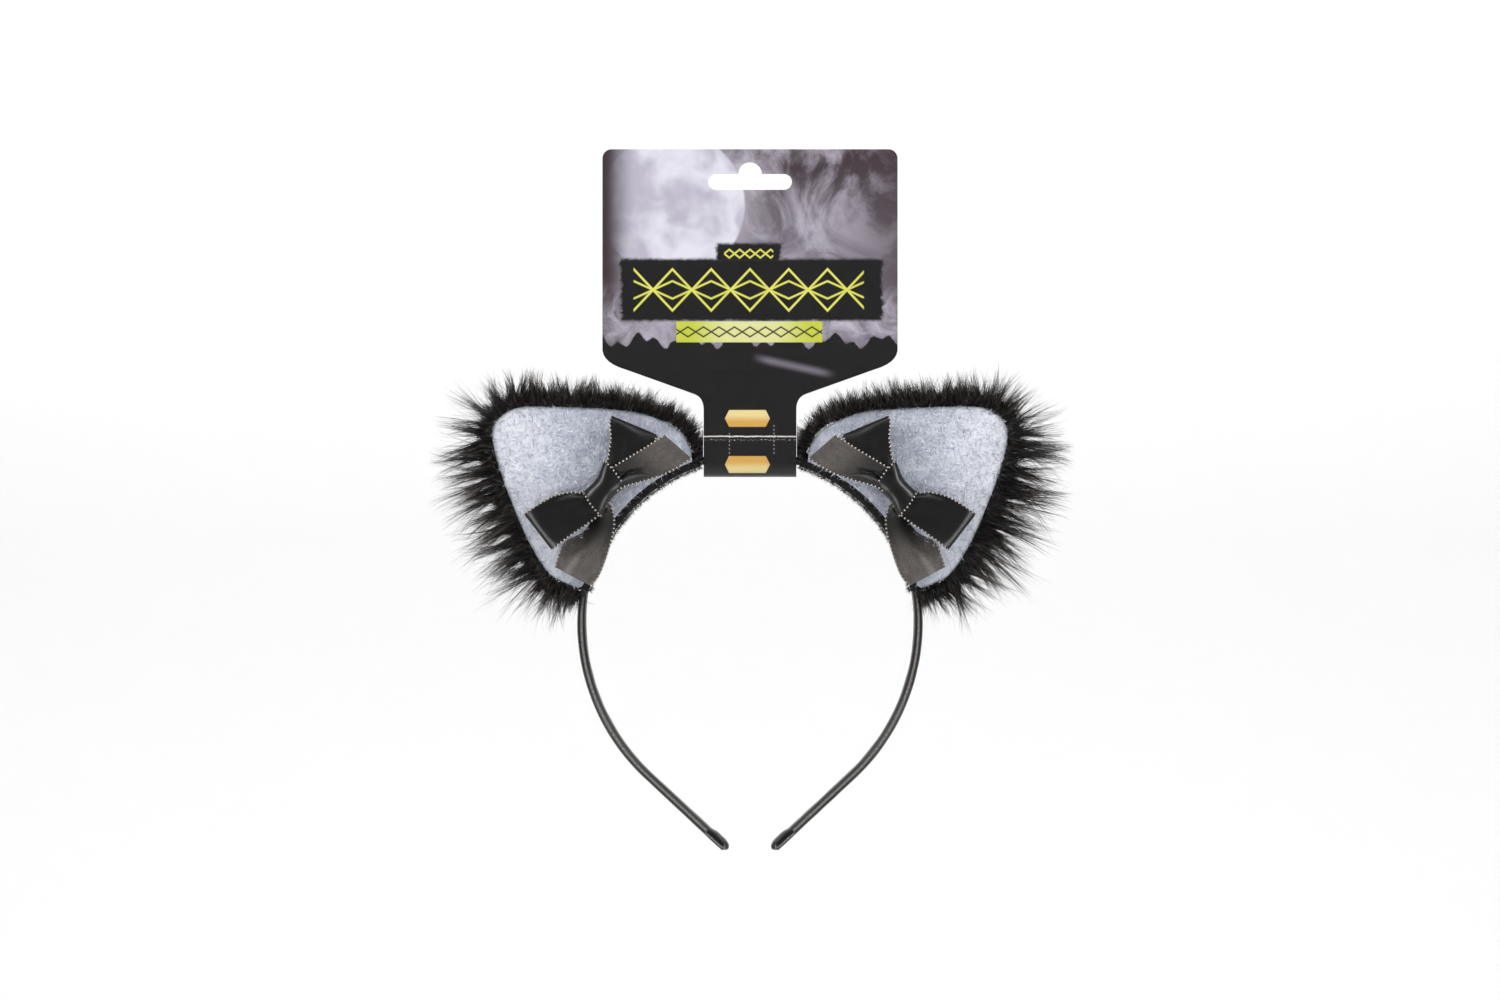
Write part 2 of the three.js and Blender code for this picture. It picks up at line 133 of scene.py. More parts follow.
FELT_LINE = smooth_curve(FELT_OUTLINE, 241)
# The fur's line runs a little further than the felt, down to the band at both ends.
RIM_COUNT = 281
RIM_LINE = smooth_curve([(34.4, 56.2), *FELT_OUTLINE, (-31.5, 57.6)], RIM_COUNT)


def outward_of(line):
    """Unit directions in u and v away from the ear's middle, smoothed round the corners."""
    along = np.gradient(line, axis=0)
    normal = np.stack([along[:, 1], -along[:, 0]], 1)
    padded = np.pad(normal, ((9, 9), (0, 0)), mode="edge")
    soft = np.stack([np.convolve(padded[:, k], np.ones(19) / 19, mode="valid") for k in range(2)], 1)
    return soft / np.linalg.norm(soft, axis=1, keepdims=True)


RIM_OUT = outward_of(RIM_LINE)
# The rim's ground beyond the felt, and how far the fur reaches, along the edge from the crown side.
GROUND_AT = [0.0, 0.3, 0.55, 0.9, 1.0]
GROUND = [3.2, 3.4, 3.8, 4.6, 4.0]
REACH_AT = [0.0, 0.15, 0.3, 0.44, 0.5, 0.56, 0.7, 0.84, 0.92, 1.0]
REACH = [7.5, 11.5, 13.0, 14.5, 18.5, 25.5, 30.0, 28.0, 24.0, 11.0]
GROUND_LINE = RIM_LINE + RIM_OUT * np.interp(np.linspace(0, 1, RIM_COUNT), GROUND_AT, GROUND)[:, None]


def base_arc(start, end, radius, count):
    """Points along the hoop's curve from under one base corner to the other."""
    a, b = math.atan2(start[0], start[1]), math.atan2(end[0], end[1])
    angle = np.linspace(a, b, count)
    return np.stack([radius * np.sin(angle), radius * np.cos(angle)], 1)


def closed_outline(line, radius, count):
    """The line from the crown side over the tip, closed along the band by an arc of that radius."""
    keep = line[np.linalg.norm(line, axis=1) > radius]
    ring = np.vstack([keep, base_arc(keep[-1], keep[0], radius, 60)[1:-1], keep[:1]])
    return resample(ring, count + 1)[:-1]


# ---------------------------------------------------------------- meshes


def ear_to_frame(points, side):
    """Points (u, v, w) of an ear as (x, y, z) in the frame."""
    u, v, w = np.asarray(points, float).T
    x = v * math.sin(EAR_ANGLE) - u * math.cos(EAR_ANGLE)
    z = HOOP_Z + v * math.cos(EAR_ANGLE) + u * math.sin(EAR_ANGLE)
    return np.stack([SIDES[side] * x, w, z], 1)


def make_object(name, points, faces, look, uv=None, tint=None, flip=False):
    """A mesh object from points in millimetres. uv and tint have one row per point."""
    mesh = bpy.data.meshes.new(name)
    faces = [tuple(reversed(f)) for f in faces] if flip else faces
    mesh.from_pydata((np.asarray(points) * MM).tolist(), [], faces)
    mesh.polygons.foreach_set("use_smooth", [True] * len(mesh.polygons))
    corner = np.zeros(len(mesh.loops), np.int32)
    mesh.loops.foreach_get("vertex_index", corner)
    if uv is not None:
        layer = mesh.uv_layers.new(name="UVMap")
        layer.data.foreach_set("uv", np.asarray(uv, np.float32)[corner].ravel())
    if tint is not None:
        attribute = mesh.attributes.new("tint", "FLOAT", "POINT")
        attribute.data.foreach_set("value", np.asarray(tint, np.float32))
    mesh.materials.append(look)
    mesh.update()
    obj = bpy.data.objects.new(name, mesh)
    bpy.context.scene.collection.objects.link(obj)
    return obj


def belongs(obj, body, slot, *nodes):
    """The object rides on a body and replaces the named CAD nodes, which are hidden; slot is not used."""
    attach(obj, body)
    if nodes:
        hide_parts(*nodes)


def grid_faces(rows, columns, close_rows=False, close_columns=False):
    """Quads over a grid of points stored row by row."""
    faces = []
    for i in range(rows if close_rows else rows - 1):
        for j in range(columns if close_columns else columns - 1):
            a, b = i * columns + j, i * columns + (j + 1) % columns
            k = (i + 1) % rows
            faces.append((a, b, k * columns + (j + 1) % columns, k * columns + j))
    return faces


def capped_tube(rings):
    """Points and faces of rings of equal count joined into a tube, each end closed by a fan."""
    rows, columns = len(rings), len(rings[0])
    points = np.vstack([*rings, rings[0].mean(0, keepdims=True), rings[-1].mean(0, keepdims=True)])
    faces = grid_faces(rows, columns, close_columns=True)
    first, last = rows * columns, rows * columns + 1
    base = (rows - 1) * columns
    for j in range(columns):
        k = (j + 1) % columns
        faces.append((first, k, j))
        faces.append((last, base + j, base + k))
    return points, faces


def ring_uv(rows, columns, length, girth):
    """UVs in millimetres for a tube, with the two fan centres at its end."""
    along = np.repeat(np.linspace(0, length, rows), columns)
    around = np.tile(np.linspace(0, girth, columns, endpoint=False), rows)
    uv = np.stack([along, around], 1)
    return np.vstack([uv, [[0, 0], [length, 0]]])


def smoothstep(x, low, high):
    """0 below low, 1 above high, and a smooth rise between them."""
    t = np.clip((np.asarray(x, float) - low) / (high - low), 0, 1)
    return t * t * (3 - 2 * t)


def wobble(seed, count, size, scale):
    """A random line of that many values, straight between knots about scale samples apart."""
    local = np.random.default_rng(seed)
    knots = local.normal(0, size, max(4, int(count / scale) + 3))
    return np.interp(np.linspace(0, len(knots) - 1, count), np.arange(len(knots)), knots)


# ---------------------------------------------------------------- materials


def colour(code):
    """A linear RGBA colour from a hex code such as 1a1b1c."""
    values = [int(code[i : i + 2], 16) / 255 for i in (0, 2, 4)]
    return [v / 12.92 if v <= 0.04045 else ((v + 0.055) / 1.055) ** 2.4 for v in values] + [1.0]


class Look:
    """A node material being built: each call adds a node and returns its output."""

    def __init__(self, name, roughness):
        self.material = bpy.data.materials.new(name)
        self.material.use_nodes = True
        self.tree = self.material.node_tree
        self.shader = self.tree.nodes["Principled BSDF"]
        self.shader.inputs["Roughness"].default_value = roughness

    def node(self, kind, **settings):
        made = self.tree.nodes.new(kind)
        for key, value in settings.items():
            setattr(made, key, value)
        return made

    def feed(self, socket, value):
        """Links or sets a socket. A text value is a colour's hex code."""
        if isinstance(value, bpy.types.NodeSocket):
            self.tree.links.new(value, socket)
        else:
            socket.default_value = colour(value) if isinstance(value, str) else value

    def set(self, **values):
        for key, value in values.items():
            self.feed(self.shader.inputs[key.replace("_", " ")], value)

    def math(self, operation, a, b=0.0, clamp=False):
        made = self.node("ShaderNodeMath", operation=operation, use_clamp=clamp)
        self.feed(made.inputs[0], a)
        self.feed(made.inputs[1], b)
        return made.outputs[0]

    def add(self, a, b, clamp=False):
        return self.math("ADD", a, b, clamp)

    def sub(self, a, b):
        return self.math("SUBTRACT", a, b)

    def mul(self, a, b):
        return self.math("MULTIPLY", a, b)

    def weigh(self, a, a_share, b, b_share):
        return self.add(self.mul(a, a_share), self.mul(b, b_share))

    def max(self, a, b):
        return self.math("MAXIMUM", a, b)

    def abs(self, a):
        return self.math("ABSOLUTE", a)

    def step(self, value, low, high):
        made = self.node("ShaderNodeMapRange", interpolation_type="SMOOTHSTEP")
        self.feed(made.inputs["Value"], value)
        self.feed(made.inputs["From Min"], low)
        self.feed(made.inputs["From Max"], high)
        return made.outputs["Result"]

    def mix(self, factor, a, b):
        made = self.node("ShaderNodeMix", data_type="RGBA")
        self.feed(made.inputs["Factor"], factor)
        self.feed(made.inputs[6], a)
        self.feed(made.inputs[7], b)
        return made.outputs[2]

    def coordinates(self, kind, scale):
        made = self.node("ShaderNodeTexCoord")
        mapping = self.node("ShaderNodeMapping")
        self.tree.links.new(made.outputs[kind], mapping.inputs["Vector"])
        mapping.inputs["Scale"].default_value = scale
        return mapping.outputs["Vector"]

    def uv(self, along=1, across=1):
        return self.coordinates("UV", (along, across, 1))

    def place(self, scale=1.0):
        return self.coordinates("Object", (scale, scale, scale))

    def parts(self, vector):
        made = self.node("ShaderNodeSeparateXYZ")
        self.tree.links.new(vector, made.inputs[0])
        return made.outputs[0], made.outputs[1], made.outputs[2]

    def noise(self, vector, scale, detail=3.0, roughness=0.5, distortion=0.0):
        made = self.node("ShaderNodeTexNoise")
        self.feed(made.inputs["Vector"], vector)
        self.feed(made.inputs["Scale"], scale)
        self.feed(made.inputs["Detail"], detail)
        self.feed(made.inputs["Roughness"], roughness)
        self.feed(made.inputs["Distortion"], distortion)
        return made.outputs["Fac"]

    def tint(self):
        return self.node("ShaderNodeAttribute", attribute_name="tint").outputs["Fac"]

    def bump(self, height, strength, distance):
        made = self.node("ShaderNodeBump")
        self.feed(made.inputs["Height"], height)
        self.feed(made.inputs["Strength"], strength)
        self.feed(made.inputs["Distance"], distance)
        self.tree.links.new(made.outputs["Normal"], self.shader.inputs["Normal"])


def satin(name, deep, light, roughness, weave_scale, gloss):
    """Woven satin: fine threads along the ribbon, faint slubs and a clear sheen that follows the folds."""
    look = Look(name, roughness)
    threads = look.noise(look.uv(0.12, 9.0), weave_scale, 2.0)
    slubs = look.noise(look.uv(0.15, 1.2), 1.0, 3.0, 0.5)
    shade = look.weigh(threads, 0.6, slubs, 0.4)
    look.set(Base_Color=look.mix(look.step(shade, 0.3, 0.7), deep, light))
    look.set(Roughness=look.add(look.mul(slubs, 0.08), roughness - 0.04))
    look.set(Sheen_Weight=0.03, Sheen_Roughness=0.3, Specular_IOR_Level=gloss)
    look.bump(threads, 0.2, 0.00008)
    return look.material


def band_look(name):
    """The band's satin: dark, with a painted highlight of paler speckled threads along the edge that faces
    the front.
    """
    look = Look(name, 0.3)
    around = look.parts(look.uv())[1]
    threads = look.noise(look.uv(0.9, 5.0), 1.2, 3.0, 0.7)
    edge = look.abs(look.sub(around, BAND_FRONT))
    # Painted highlight: a pale speckled streak along the front edge stands in for the satin's sheen.
    painted_highlight = look.mul(look.step(edge, 0.9, 0.25), look.step(threads, 0.38, 0.6))
    base = look.mix(look.step(threads, 0.3, 0.7), "050505", "0e0c0b")
    look.set(Base_Color=look.mix(painted_highlight, base, "8a8682"))
    look.set(Sheen_Weight=0.03, Sheen_Roughness=0.3, Specular_IOR_Level=0.3)
    look.bump(threads, 0.25, 0.0001)
    return look.material


def edge_thread(name):
    """The stitched edge: dark thread with a pale loop at every scallop."""
    look = Look(name, 0.6)
    along = look.parts(look.uv())[0]
    turn = look.math("SINE", look.mul(along, 2 * math.pi / PICOT))
    look.set(Base_Color=look.mix(look.step(turn, 0.35, 0.85), "0b0a09", "bdb6ac"))
    look.set(Specular_IOR_Level=0.3)
    return look.material


def satin_back(name, deep, light):
    """The dull reverse of the satin: a fine cross weave, with painted shade near the knot where the ribbon
    tucks under it.
    """
    look = Look(name, 0.42)
    u = look.parts(look.uv())[0]
    weave = look.noise(look.uv(0.9, 1.8), 1.5, 3.0, 0.7)
    slubs = look.noise(look.uv(0.25, 0.4), 1.0, 4.0, 0.6)
    shade = look.weigh(weave, 0.7, slubs, 0.3)
    base = look.mix(look.step(shade, 0.32, 0.68), deep, light)
    # Painted shade: the reverse turns near black by the knot and fades out 27 mm along the ribbon.
    look.set(Base_Color=look.mix(look.step(u, 27.0, 10.0), base, "080706"))
    look.set(Sheen_Weight=0.04, Sheen_Roughness=0.4, Specular_IOR_Level=0.5)
    look.bump(weave, 0.35, 0.00012)
    return look.material


def fur_look(name):
    """Black to dark brown pile, with a share of hairs painted pale brown-grey as glints: each hair's tint is
    stored on its mesh.
    """
    look = Look(name, 0.42)
    tint = look.tint()
    dark = look.mix(look.step(tint, 0.0, 0.7), "010101", "0b0908")
    # Painted highlight: the palest tints turn pale brown-grey, standing in for glints on the hair.
    look.set(Base_Color=look.mix(look.step(tint, 0.78, 0.97), dark, "77675e"))
    look.set(Specular_IOR_Level=0.32)
    return look.material


def hide_look(name):
    """The dark knitted ground that the pile grows from."""
    look = Look(name, 0.95)
    knit = look.noise(look.place(), 900.0, 2.0)
    look.set(Base_Color=look.mix(knit, "030202", "0b0909"))
    look.bump(knit, 0.6, 0.0004)
    return look.material


def felt_look(name):
    """Pale blue-grey fleece: cloudy patches and tangled fibres, with painted light making it paler towards
    the ear's tip.
    """
    look = Look(name, 0.96)
    uv = look.uv()
    clouds = look.noise(uv, 0.09, 3.0, 0.55, 0.6)
    tangle = look.noise(uv, 1.1, 6.0, 0.72, 1.6)
    fine = look.noise(uv, 4.5, 3.0, 0.6, 0.8)
    shade = look.weigh(clouds, 0.35, tangle, 0.65)
    base = look.mix(look.step(shade, 0.38, 0.62), "8890a5", "ccd1dd")
    u, v = look.parts(uv)[:2]
    # Painted light: the felt's colour is made paler the further out towards the ear's tip; the fine specks
    # mixed in with it are real.
    outward = look.weigh(v, 0.77, u, -0.64)
    painted_light = look.step(outward, 66.0, 92.0)
    pale = look.weigh(fine, 0.35, painted_light, 0.65)
    look.set(Base_Color=look.mix(pale, base, "eceef3"))
    look.set(Sheen_Weight=0.35, Sheen_Roughness=0.6, Specular_IOR_Level=0.15)
    look.bump(look.add(tangle, look.mul(fine, 0.4)), 0.9, 0.0008)
    return look.material


def fibre_look(name):
    """Loose fleece fibres: each fibre's tint runs from shadow grey to near white."""
    look = Look(name, 0.9)
    tint = look.tint()
    look.set(Base_Color=look.mix(look.step(tint, 0.2, 0.8), "959db2", "eef0f6"))
    look.set(Specular_IOR_Level=0.15, Sheen_Weight=0.2)
    return look.material


MOON = (-30.0, 98.0)
MOON_RADIUS = 28.0
GLOW_RADIUS = 33.0
# Printed areas as (x, z) of the lowest and highest corner, and the middle of each row of diamonds.
BANNER_BOX = ((-50, 53), (51, 77))
BANNER_ROW_Z = 65.0
TAB_BOX = ((-13, 76), (12, 83))
TAB_ROW_Z = 79.0
LABEL_BOX = ((-28.5, 44.7), (28.0, 52.8))
LABEL_ROW_Z = 48.75
# The neck's two tags: the height of each one's middle, and where its gold is darkest and palest.
NECK_TAGS = ((15.2, 13.5, 16.8), (-2.6, -1.2, -4.4))


def disc(look, x, z, centre, radius, soft):
    """1 inside a soft-edged disc, 0 outside it."""
    dx = look.sub(x, centre[0])
    dz = look.sub(z, centre[1])
    square = look.weigh(dx, dx, dz, dz)
    return look.step(look.math("SQRT", square), radius + soft, radius - soft)


def band_mask(look, value, low, high, soft):
    """1 where value lies between low and high."""
    inside = look.step(value, low - soft, low + soft)
    return look.mul(inside, look.step(value, high + soft, high - soft))


def box_mask(look, x, z, box, soft):
    """1 inside a soft-edged rectangle, 0 outside it."""
    (x0, z0), (x1, z1) = box
    across = band_mask(look, x, x0, x1, soft)
    return look.mul(across, band_mask(look, z, z0, z1, soft))


def wave(look, x, length):
    """A repeating triangle wave from 0 to 1 along x."""
    part = look.math("FRACT", look.math("DIVIDE", x, length))
    return look.abs(look.sub(look.mul(part, 2.0), 1.0))


def diamonds(look, x, z, middle, length, height, line):
    """A row of diamond outlines along the line z = middle."""
    lift = look.abs(look.sub(z, middle))
    edge = look.mul(wave(look, x, length), height)
    away = look.abs(look.sub(lift, edge))
    return look.step(away, line + 0.25, line - 0.25)


def night_sky(look, where, x, z):
    """A large moon among drifting clouds, with mist low down."""
    clouds = look.noise(where, 0.03, 6.0, 0.62, 1.3)
    wisps = look.noise(where, 0.11, 5.0, 0.65, 0.8)
    sky = look.mix(look.step(z, 70, 119), "6a636d", "35292e")
    sky = look.mix(look.step(clouds, 0.44, 0.66), sky, "9c96a2")
    sky = look.mix(look.mul(look.step(x, 20, 60), 0.7), sky, "382c32")
    glow = disc(look, x, z, MOON, GLOW_RADIUS, 9.0)
    sky = look.mix(look.mul(glow, 0.45), sky, "b4b0bb")
    seas = look.noise(where, 0.055, 3.0, 0.5, 0.3)
    face = look.mix(look.step(seas, 0.38, 0.62), "a29eac", "c6c4ce")
    sky = look.mix(disc(look, x, z, MOON, MOON_RADIUS, 0.5), sky, face)
    sky = look.mix(look.step(x, -44, -56), sky, "33282c")
    mist = look.mul(band_mask(look, z, 44, 62, 9), look.step(wisps, 0.3, 0.75))
    return look.mix(mist, sky, "aaa4b2")


def ground_shade(look, where, x, z):
    """Dark rounded hills with a pale path of light across them: where they are, and their colour."""
    wisps = look.noise(where, 0.11, 5.0, 0.65, 0.8)
    low_hills = look.mul(look.math("SINE", look.mul(x, 0.34)), 2.0)
    small_hills = look.mul(look.math("SINE", look.mul(x, 0.9)), 1.1)
    hills = look.add(low_hills, small_hills)
    rough = look.add(look.add(z, hills), look.mul(wisps, 5.0))
    slope = look.add(z, look.mul(x, 0.22))
    path = look.mul(band_mask(look, slope, 38.2, 40.2, 1.6), band_mask(look, x, 4, 30, 4))
    ground = look.mix(look.mul(path, 0.75), "0b0809", "7b7482")
    return look.step(rough, 48.2, 47.4), ground


def card_look(name):
    """Coated card printed with a night scene, a plain dark banner with a diamond border, and blank labels."""
    look = Look(name, 0.32)
    where = look.place(1 / MM)
    x, y, z = look.parts(where)
    art = night_sky(look, where, x, z)
    is_ground, ground = ground_shade(look, where, x, z)
    art = look.mix(is_ground, art, ground)
    edge = look.mul(look.sub(look.noise(where, 0.3, 4.0, 0.7), 0.5), 5.0)
    ragged_x, ragged_z = look.add(x, edge), look.add(z, look.mul(edge, 0.35))
    banner = box_mask(look, ragged_x, ragged_z, BANNER_BOX, 0.8)
    tab = box_mask(look, ragged_x, ragged_z, TAB_BOX, 0.8)
    art = look.mix(look.max(banner, tab), art, "090708")
    large = diamonds(look, x, z, BANNER_ROW_Z, 15.0, 8.0, 0.6)
    small = diamonds(look, x, z, BANNER_ROW_Z, 15.0, 3.4, 0.4)
    across = band_mask(look, x, -45, 44, 0.3)
    ornament = look.mul(look.max(large, small), across)
    tiny = look.mul(diamonds(look, x, z, TAB_ROW_Z, 4.0, 1.6, 0.4), band_mask(look, x, -10, 9, 0.2))
    ink = look.mix(look.noise(where, 0.09, 2.0), "b9ba3c", "d0cd6c")
    art = look.mix(look.max(ornament, tiny), art, ink)
    label = look.mix(look.step(look.abs(x), 8, 24), "c3c487", "adb43a")
    label = look.mix(diamonds(look, x, z, LABEL_ROW_Z, 6.0, 1.9, 0.35), label, "26211f")
    art = look.mix(box_mask(look, x, z, LABEL_BOX, 0.15), art, label)
    art = look.mix(look.step(z, 33.0, 27.0), art, "0c090a")
    for middle, dark_end, pale_end in NECK_TAGS:
        gold = look.mix(look.step(z, dark_end, pale_end), "b98f45", "cbb981")
        art = look.mix(neck_tag(look, x, z, middle), art, gold)
    art = look.mix(card_wear(look, where, x, z), art, "cdc8c6")
    front = look.step(y, 0.05, -0.05)
    back = look.mix(look.noise(where, 0.8, 3.0), "d9d7d3", "e6e4e0")
    back = look.mix(look.step(z, 12.0, 11.0), back, "0c090a")
    normal = look.node("ShaderNodeNewGeometry").outputs["Normal"]
    side_on = look.sub(1.0, look.abs(look.parts(normal)[1]))
    cut = look.mul(look.step(side_on, 0.25, 0.6), look.step(z, 30.0, 34.0))
    art = look.mix(front, back, art)
    look.set(Base_Color=look.mix(cut, art, "dcd9d4"))
    gloss = look.noise(where, 0.5, 3.0)
    look.set(Roughness=look.add(look.mul(gloss, 0.12), 0.28))
    look.set(Specular_IOR_Level=0.4, Coat_Weight=0.05, Coat_Roughness=0.2)
    look.bump(look.noise(where, 2.2, 3.0), 0.12, 0.0002)
    return look.material


def neck_tag(look, x, z, middle):
    """A small blank tag printed on the neck, its ends cut to soft points."""
    lift = look.abs(look.sub(z, middle))
    half = look.sub(8.6, look.mul(lift, 0.5))
    across = look.step(look.abs(look.sub(x, -1.0)), look.add(half, 0.2), half)
    return look.mul(across, look.step(lift, 3.4, 3.1))


def card_wear(look, where, x, z):
    """White scuffs: the score line across the neck and faint upright scratches."""
    scratch = look.noise(where, 1.6, 5.0, 0.75)
    line = look.add(z, look.mul(look.noise(where, 0.25, 2.0), 0.6))
    score = look.mul(band_mask(look, line, 8.3, 8.8, 0.12), look.step(scratch, 0.36, 0.5))
    lower = look.mul(band_mask(look, line, 7.0, 7.4, 0.15), look.step(scratch, 0.52, 0.62))
    dash = look.step(look.math("SINE", look.mul(z, 4.2)), 0.1, 0.5)
    tall = box_mask(look, x, z, ((9.1, 1.5), (9.4, 13.5)), 0.08)
    short = box_mask(look, x, z, ((-8.1, -0.5), (-7.8, 9.5)), 0.08)
    marks = look.mul(look.add(tall, short), look.mul(dash, 0.55))
    return look.add(look.add(score, lower), marks, clamp=True)


LOOKS = {
    "band": band_look("band_satin"),
    "bow": satin("bow_satin", "030303", "0b0a0a", 0.31, 1.4, 0.32),
    "tail": satin_back("bow_satin_reverse", "2c2826", "5c5652"),
    "edge": edge_thread("bow_edge_thread"),
    "fur": fur_look("fur_black"),
    "hide": hide_look("fur_ground"),
    "felt": felt_look("felt_blue_grey"),
    "fibre": fibre_look("felt_fibre"),
    "card": card_look("card_print"),
}


# ---------------------------------------------------------------- band


def band_point(s):
    """The band's middle line at distances s from the crown, positive on the right: x and z."""
    side = np.where(s < 0, -1.0, 1.0)
    a = np.abs(s)
    crown = np.minimum(a, CROWN_QUARTER) / BAND_RADIUS
    arc = np.clip(a - CROWN_QUARTER, 0, LEG_ARC) / LEG_RADIUS
    straight = np.maximum(a - CROWN_QUARTER - LEG_ARC, 0)
    x = BAND_RADIUS * np.sin(crown) + LEG_RADIUS * (np.cos(arc) - 1) - straight * math.sin(LEG_SWEEP)
    z = BAND_RADIUS * np.cos(crown) - LEG_RADIUS * np.sin(arc) - straight * math.cos(LEG_SWEEP)
    return np.stack([side * x, HOOP_Z + z], 1)


def band_rings(s, section):
    """Sections swept along the band: section(i) gives (across, out) points for the i-th station."""
    middle = band_point(s)
    ahead, behind = band_point(s + 0.05), band_point(s - 0.05)
    along = (ahead - behind) / np.linalg.norm(ahead - behind, axis=1, keepdims=True)
    out = np.stack([-along[:, 1], along[:, 0]], 1)
    rings = []
    for i in range(len(s)):
        across, lift = section(i).T
        ring = np.zeros((len(across), 3))
        ring[:, 0] = middle[i, 0] + out[i, 0] * lift
        ring[:, 1] = across
        ring[:, 2] = middle[i, 1] + out[i, 1] * lift
        rings.append(ring)
    return rings


def superellipse(width, height, power, count):
    """A rounded rectangle of count points, starting at +y and going round."""
    t = np.linspace(0, 2 * math.pi, count, endpoint=False)
    c, s = np.cos(t), np.sin(t)
    x = np.sign(c) * np.abs(c) ** (2 / power) * width / 2
    y = np.sign(s) * np.abs(s) ** (2 / power) * height / 2
    return np.stack([x, y], 1)


WRAP_PUFF = 0.6  # how much thicker the legs are than the crown


def wrap(name, start, stop, seed):
    """A stretch of the satin-covered band, with the ribbon's lapped seam along its inner face."""
    count, columns = max(24, int(abs(stop - start) / 1.3)), 36
    s = np.linspace(start, stop, count)
    puffs = wobble(seed, count, 0.05, 4)
    shift = wobble(seed + 1, count, 0.25, 9)
    puff = WRAP_PUFF * smoothstep(np.abs(s), CROWN_QUARTER * 0.85, CROWN_QUARTER) + puffs

    def section(i):
        ring = superellipse(BAND_WIDTH + puffs[i], BAND_THICKNESS + puff[i], 2.6, columns)
        inner = ring[:, 1] < 0
        seam = np.exp(-(((ring[:, 0] - 1.1 - shift[i]) / 0.35) ** 2))
        ring[:, 1] -= np.where(inner, 0.16 * seam, 0)
        return ring

    points, faces = capped_tube(band_rings(s, section))
    uv = ring_uv(count, columns, abs(stop - start), 2 * (BAND_WIDTH + BAND_THICKNESS))
    return make_object(name, points, faces, LOOKS["band"], uv=uv, flip=start > stop)


def tip_cap(side):
    """The satin folded over the band's end: a rounded paddle with gathered ridges."""
    count, columns = 26, 40
    s = np.linspace(BAND_HALF - CAP_LENGTH, BAND_HALF, count)
    t = np.linspace(0, 1, count)
    body = np.sqrt(np.clip(1 - np.clip((t - 0.62) / 0.38, 0, 1) ** 2.2, 0.0, 1))
    swell = smoothstep(t, 0.0, 0.35)
    width = (BAND_WIDTH + 0.9 + 0.6 * swell) * np.maximum(body, 0.12)
    height = (BAND_THICKNESS + 0.7 + 0.5 * swell) * np.maximum(body, 0.12)

    def section(i):
        ring = superellipse(width[i], height[i], 2.6, columns)
        angle = np.arctan2(ring[:, 1], ring[:, 0])
        fold = np.cos(angle * 7 + 0.6) * 0.16 + np.cos(angle * 4 + 1.9) * 0.22
        ring *= 1 + (fold * swell[i] * (1 - 0.4 * t[i]) / 3.0)[:, None]
        ring[:, 1] -= 0.35 * swell[i]
        return ring

    sign = SIDES[side]
    points, faces = capped_tube(band_rings(sign * s, section))
    uv = ring_uv(count, columns, CAP_LENGTH, 24)
    cap = make_object(f"{side}_tip_cap_satin", points, faces, LOOKS["band"], uv=uv, flip=sign < 0)
    belongs(cap, f"{side}_leg", "band_satin", f"{side}_tip_cap")


def build_band():
    """The band's satin: one stretch over the crown, and one for each leg with its tip cap."""
    split = BAND_RADIUS * WRAP_SPLIT
    crown = wrap("band_wrap_satin_crown", -split - WRAP_LAP, split + WRAP_LAP, 11)
    belongs(crown, "crown", "band_satin", "band_wrap_crown")
    for side, sign in SIDES.items():
        leg = wrap(f"{side}_leg_satin", sign * split, sign * (BAND_HALF - 1.5), 23 + sign)
        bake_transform(leg)
        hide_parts(f"{side}_leg_wrap")
        tip_cap(side)


# ---------------------------------------------------------------- hair


HAIR_SLOTS = {"fur": "faux_fur", "fibre": "felt"}
# How many locks or hairs each ear has, and how many hairs are in a lock.
RIM_LOCKS, RIM_GROUPS, RIM_LOCK_HAIRS = 560, 60, 15
RIM_UNDER_HAIRS = 13000
RIM_FLYAWAYS = 2600
BACK_LOCKS, BACK_LOCK_HAIRS = 420, 40
FELT_FIBRES = 10000
HEM_HAIRS = 7000


def hairs(name, middle, side, look, width, tint):
    """Tapered flat hairs: middle holds each hair's points from root to tip, as (hair, point, uvw)."""
    local = np.random.default_rng(hash_name(name))
    n, stations = middle.shape[:2]
    way = unit(middle[:, -1] - middle[:, 0])
    flat = unit(np.cross(way, local.normal(size=(n, 3))))
    t = np.linspace(0, 1, stations)
    taper = width * local.uniform(0.65, 1.35, n)[:, None] * (1 - t[:-1]) ** 0.55
    spread = flat[:, None] * taper[:, :, None] / 2
    pairs = np.stack([middle[:, :-1] - spread, middle[:, :-1] + spread], 2).reshape(n, -1, 3)
    points = np.concatenate([pairs, middle[:, -1:]], 1)
    per = points.shape[1]
    quads = np.array([(2 * k, 2 * k + 1, 2 * k + 3, 2 * k + 2) for k in range(stations - 2)])
    base = np.arange(n)[:, None] * per
    faces = (base[:, None] + quads[None]).reshape(-1, 4).tolist()
    faces += (base + np.array([[per - 3, per - 2, per - 1]])).reshape(-1, 3).tolist()
    root_to_tip = np.append(np.repeat(t[:-1], 2), 1.0)
    # Tints rise towards each hair's tip; on the fur this puts the painted glints mostly at the tips.
    shade = np.clip(tint[:, None] * 0.8 + 0.2 * root_to_tip[None], 0, 1).ravel()
    placed = keep_in_room(ear_to_frame(points.reshape(-1, 3), side), local)
    obj = make_object(name, placed, faces, LOOKS[look], tint=shade)
    belongs(obj, "crown", HAIR_SLOTS[look])


# The card's neck: half its width with a little room, and the height up to which hair keeps clear.
NECK_CLEAR = 18.1
NECK_TOP = 24.0
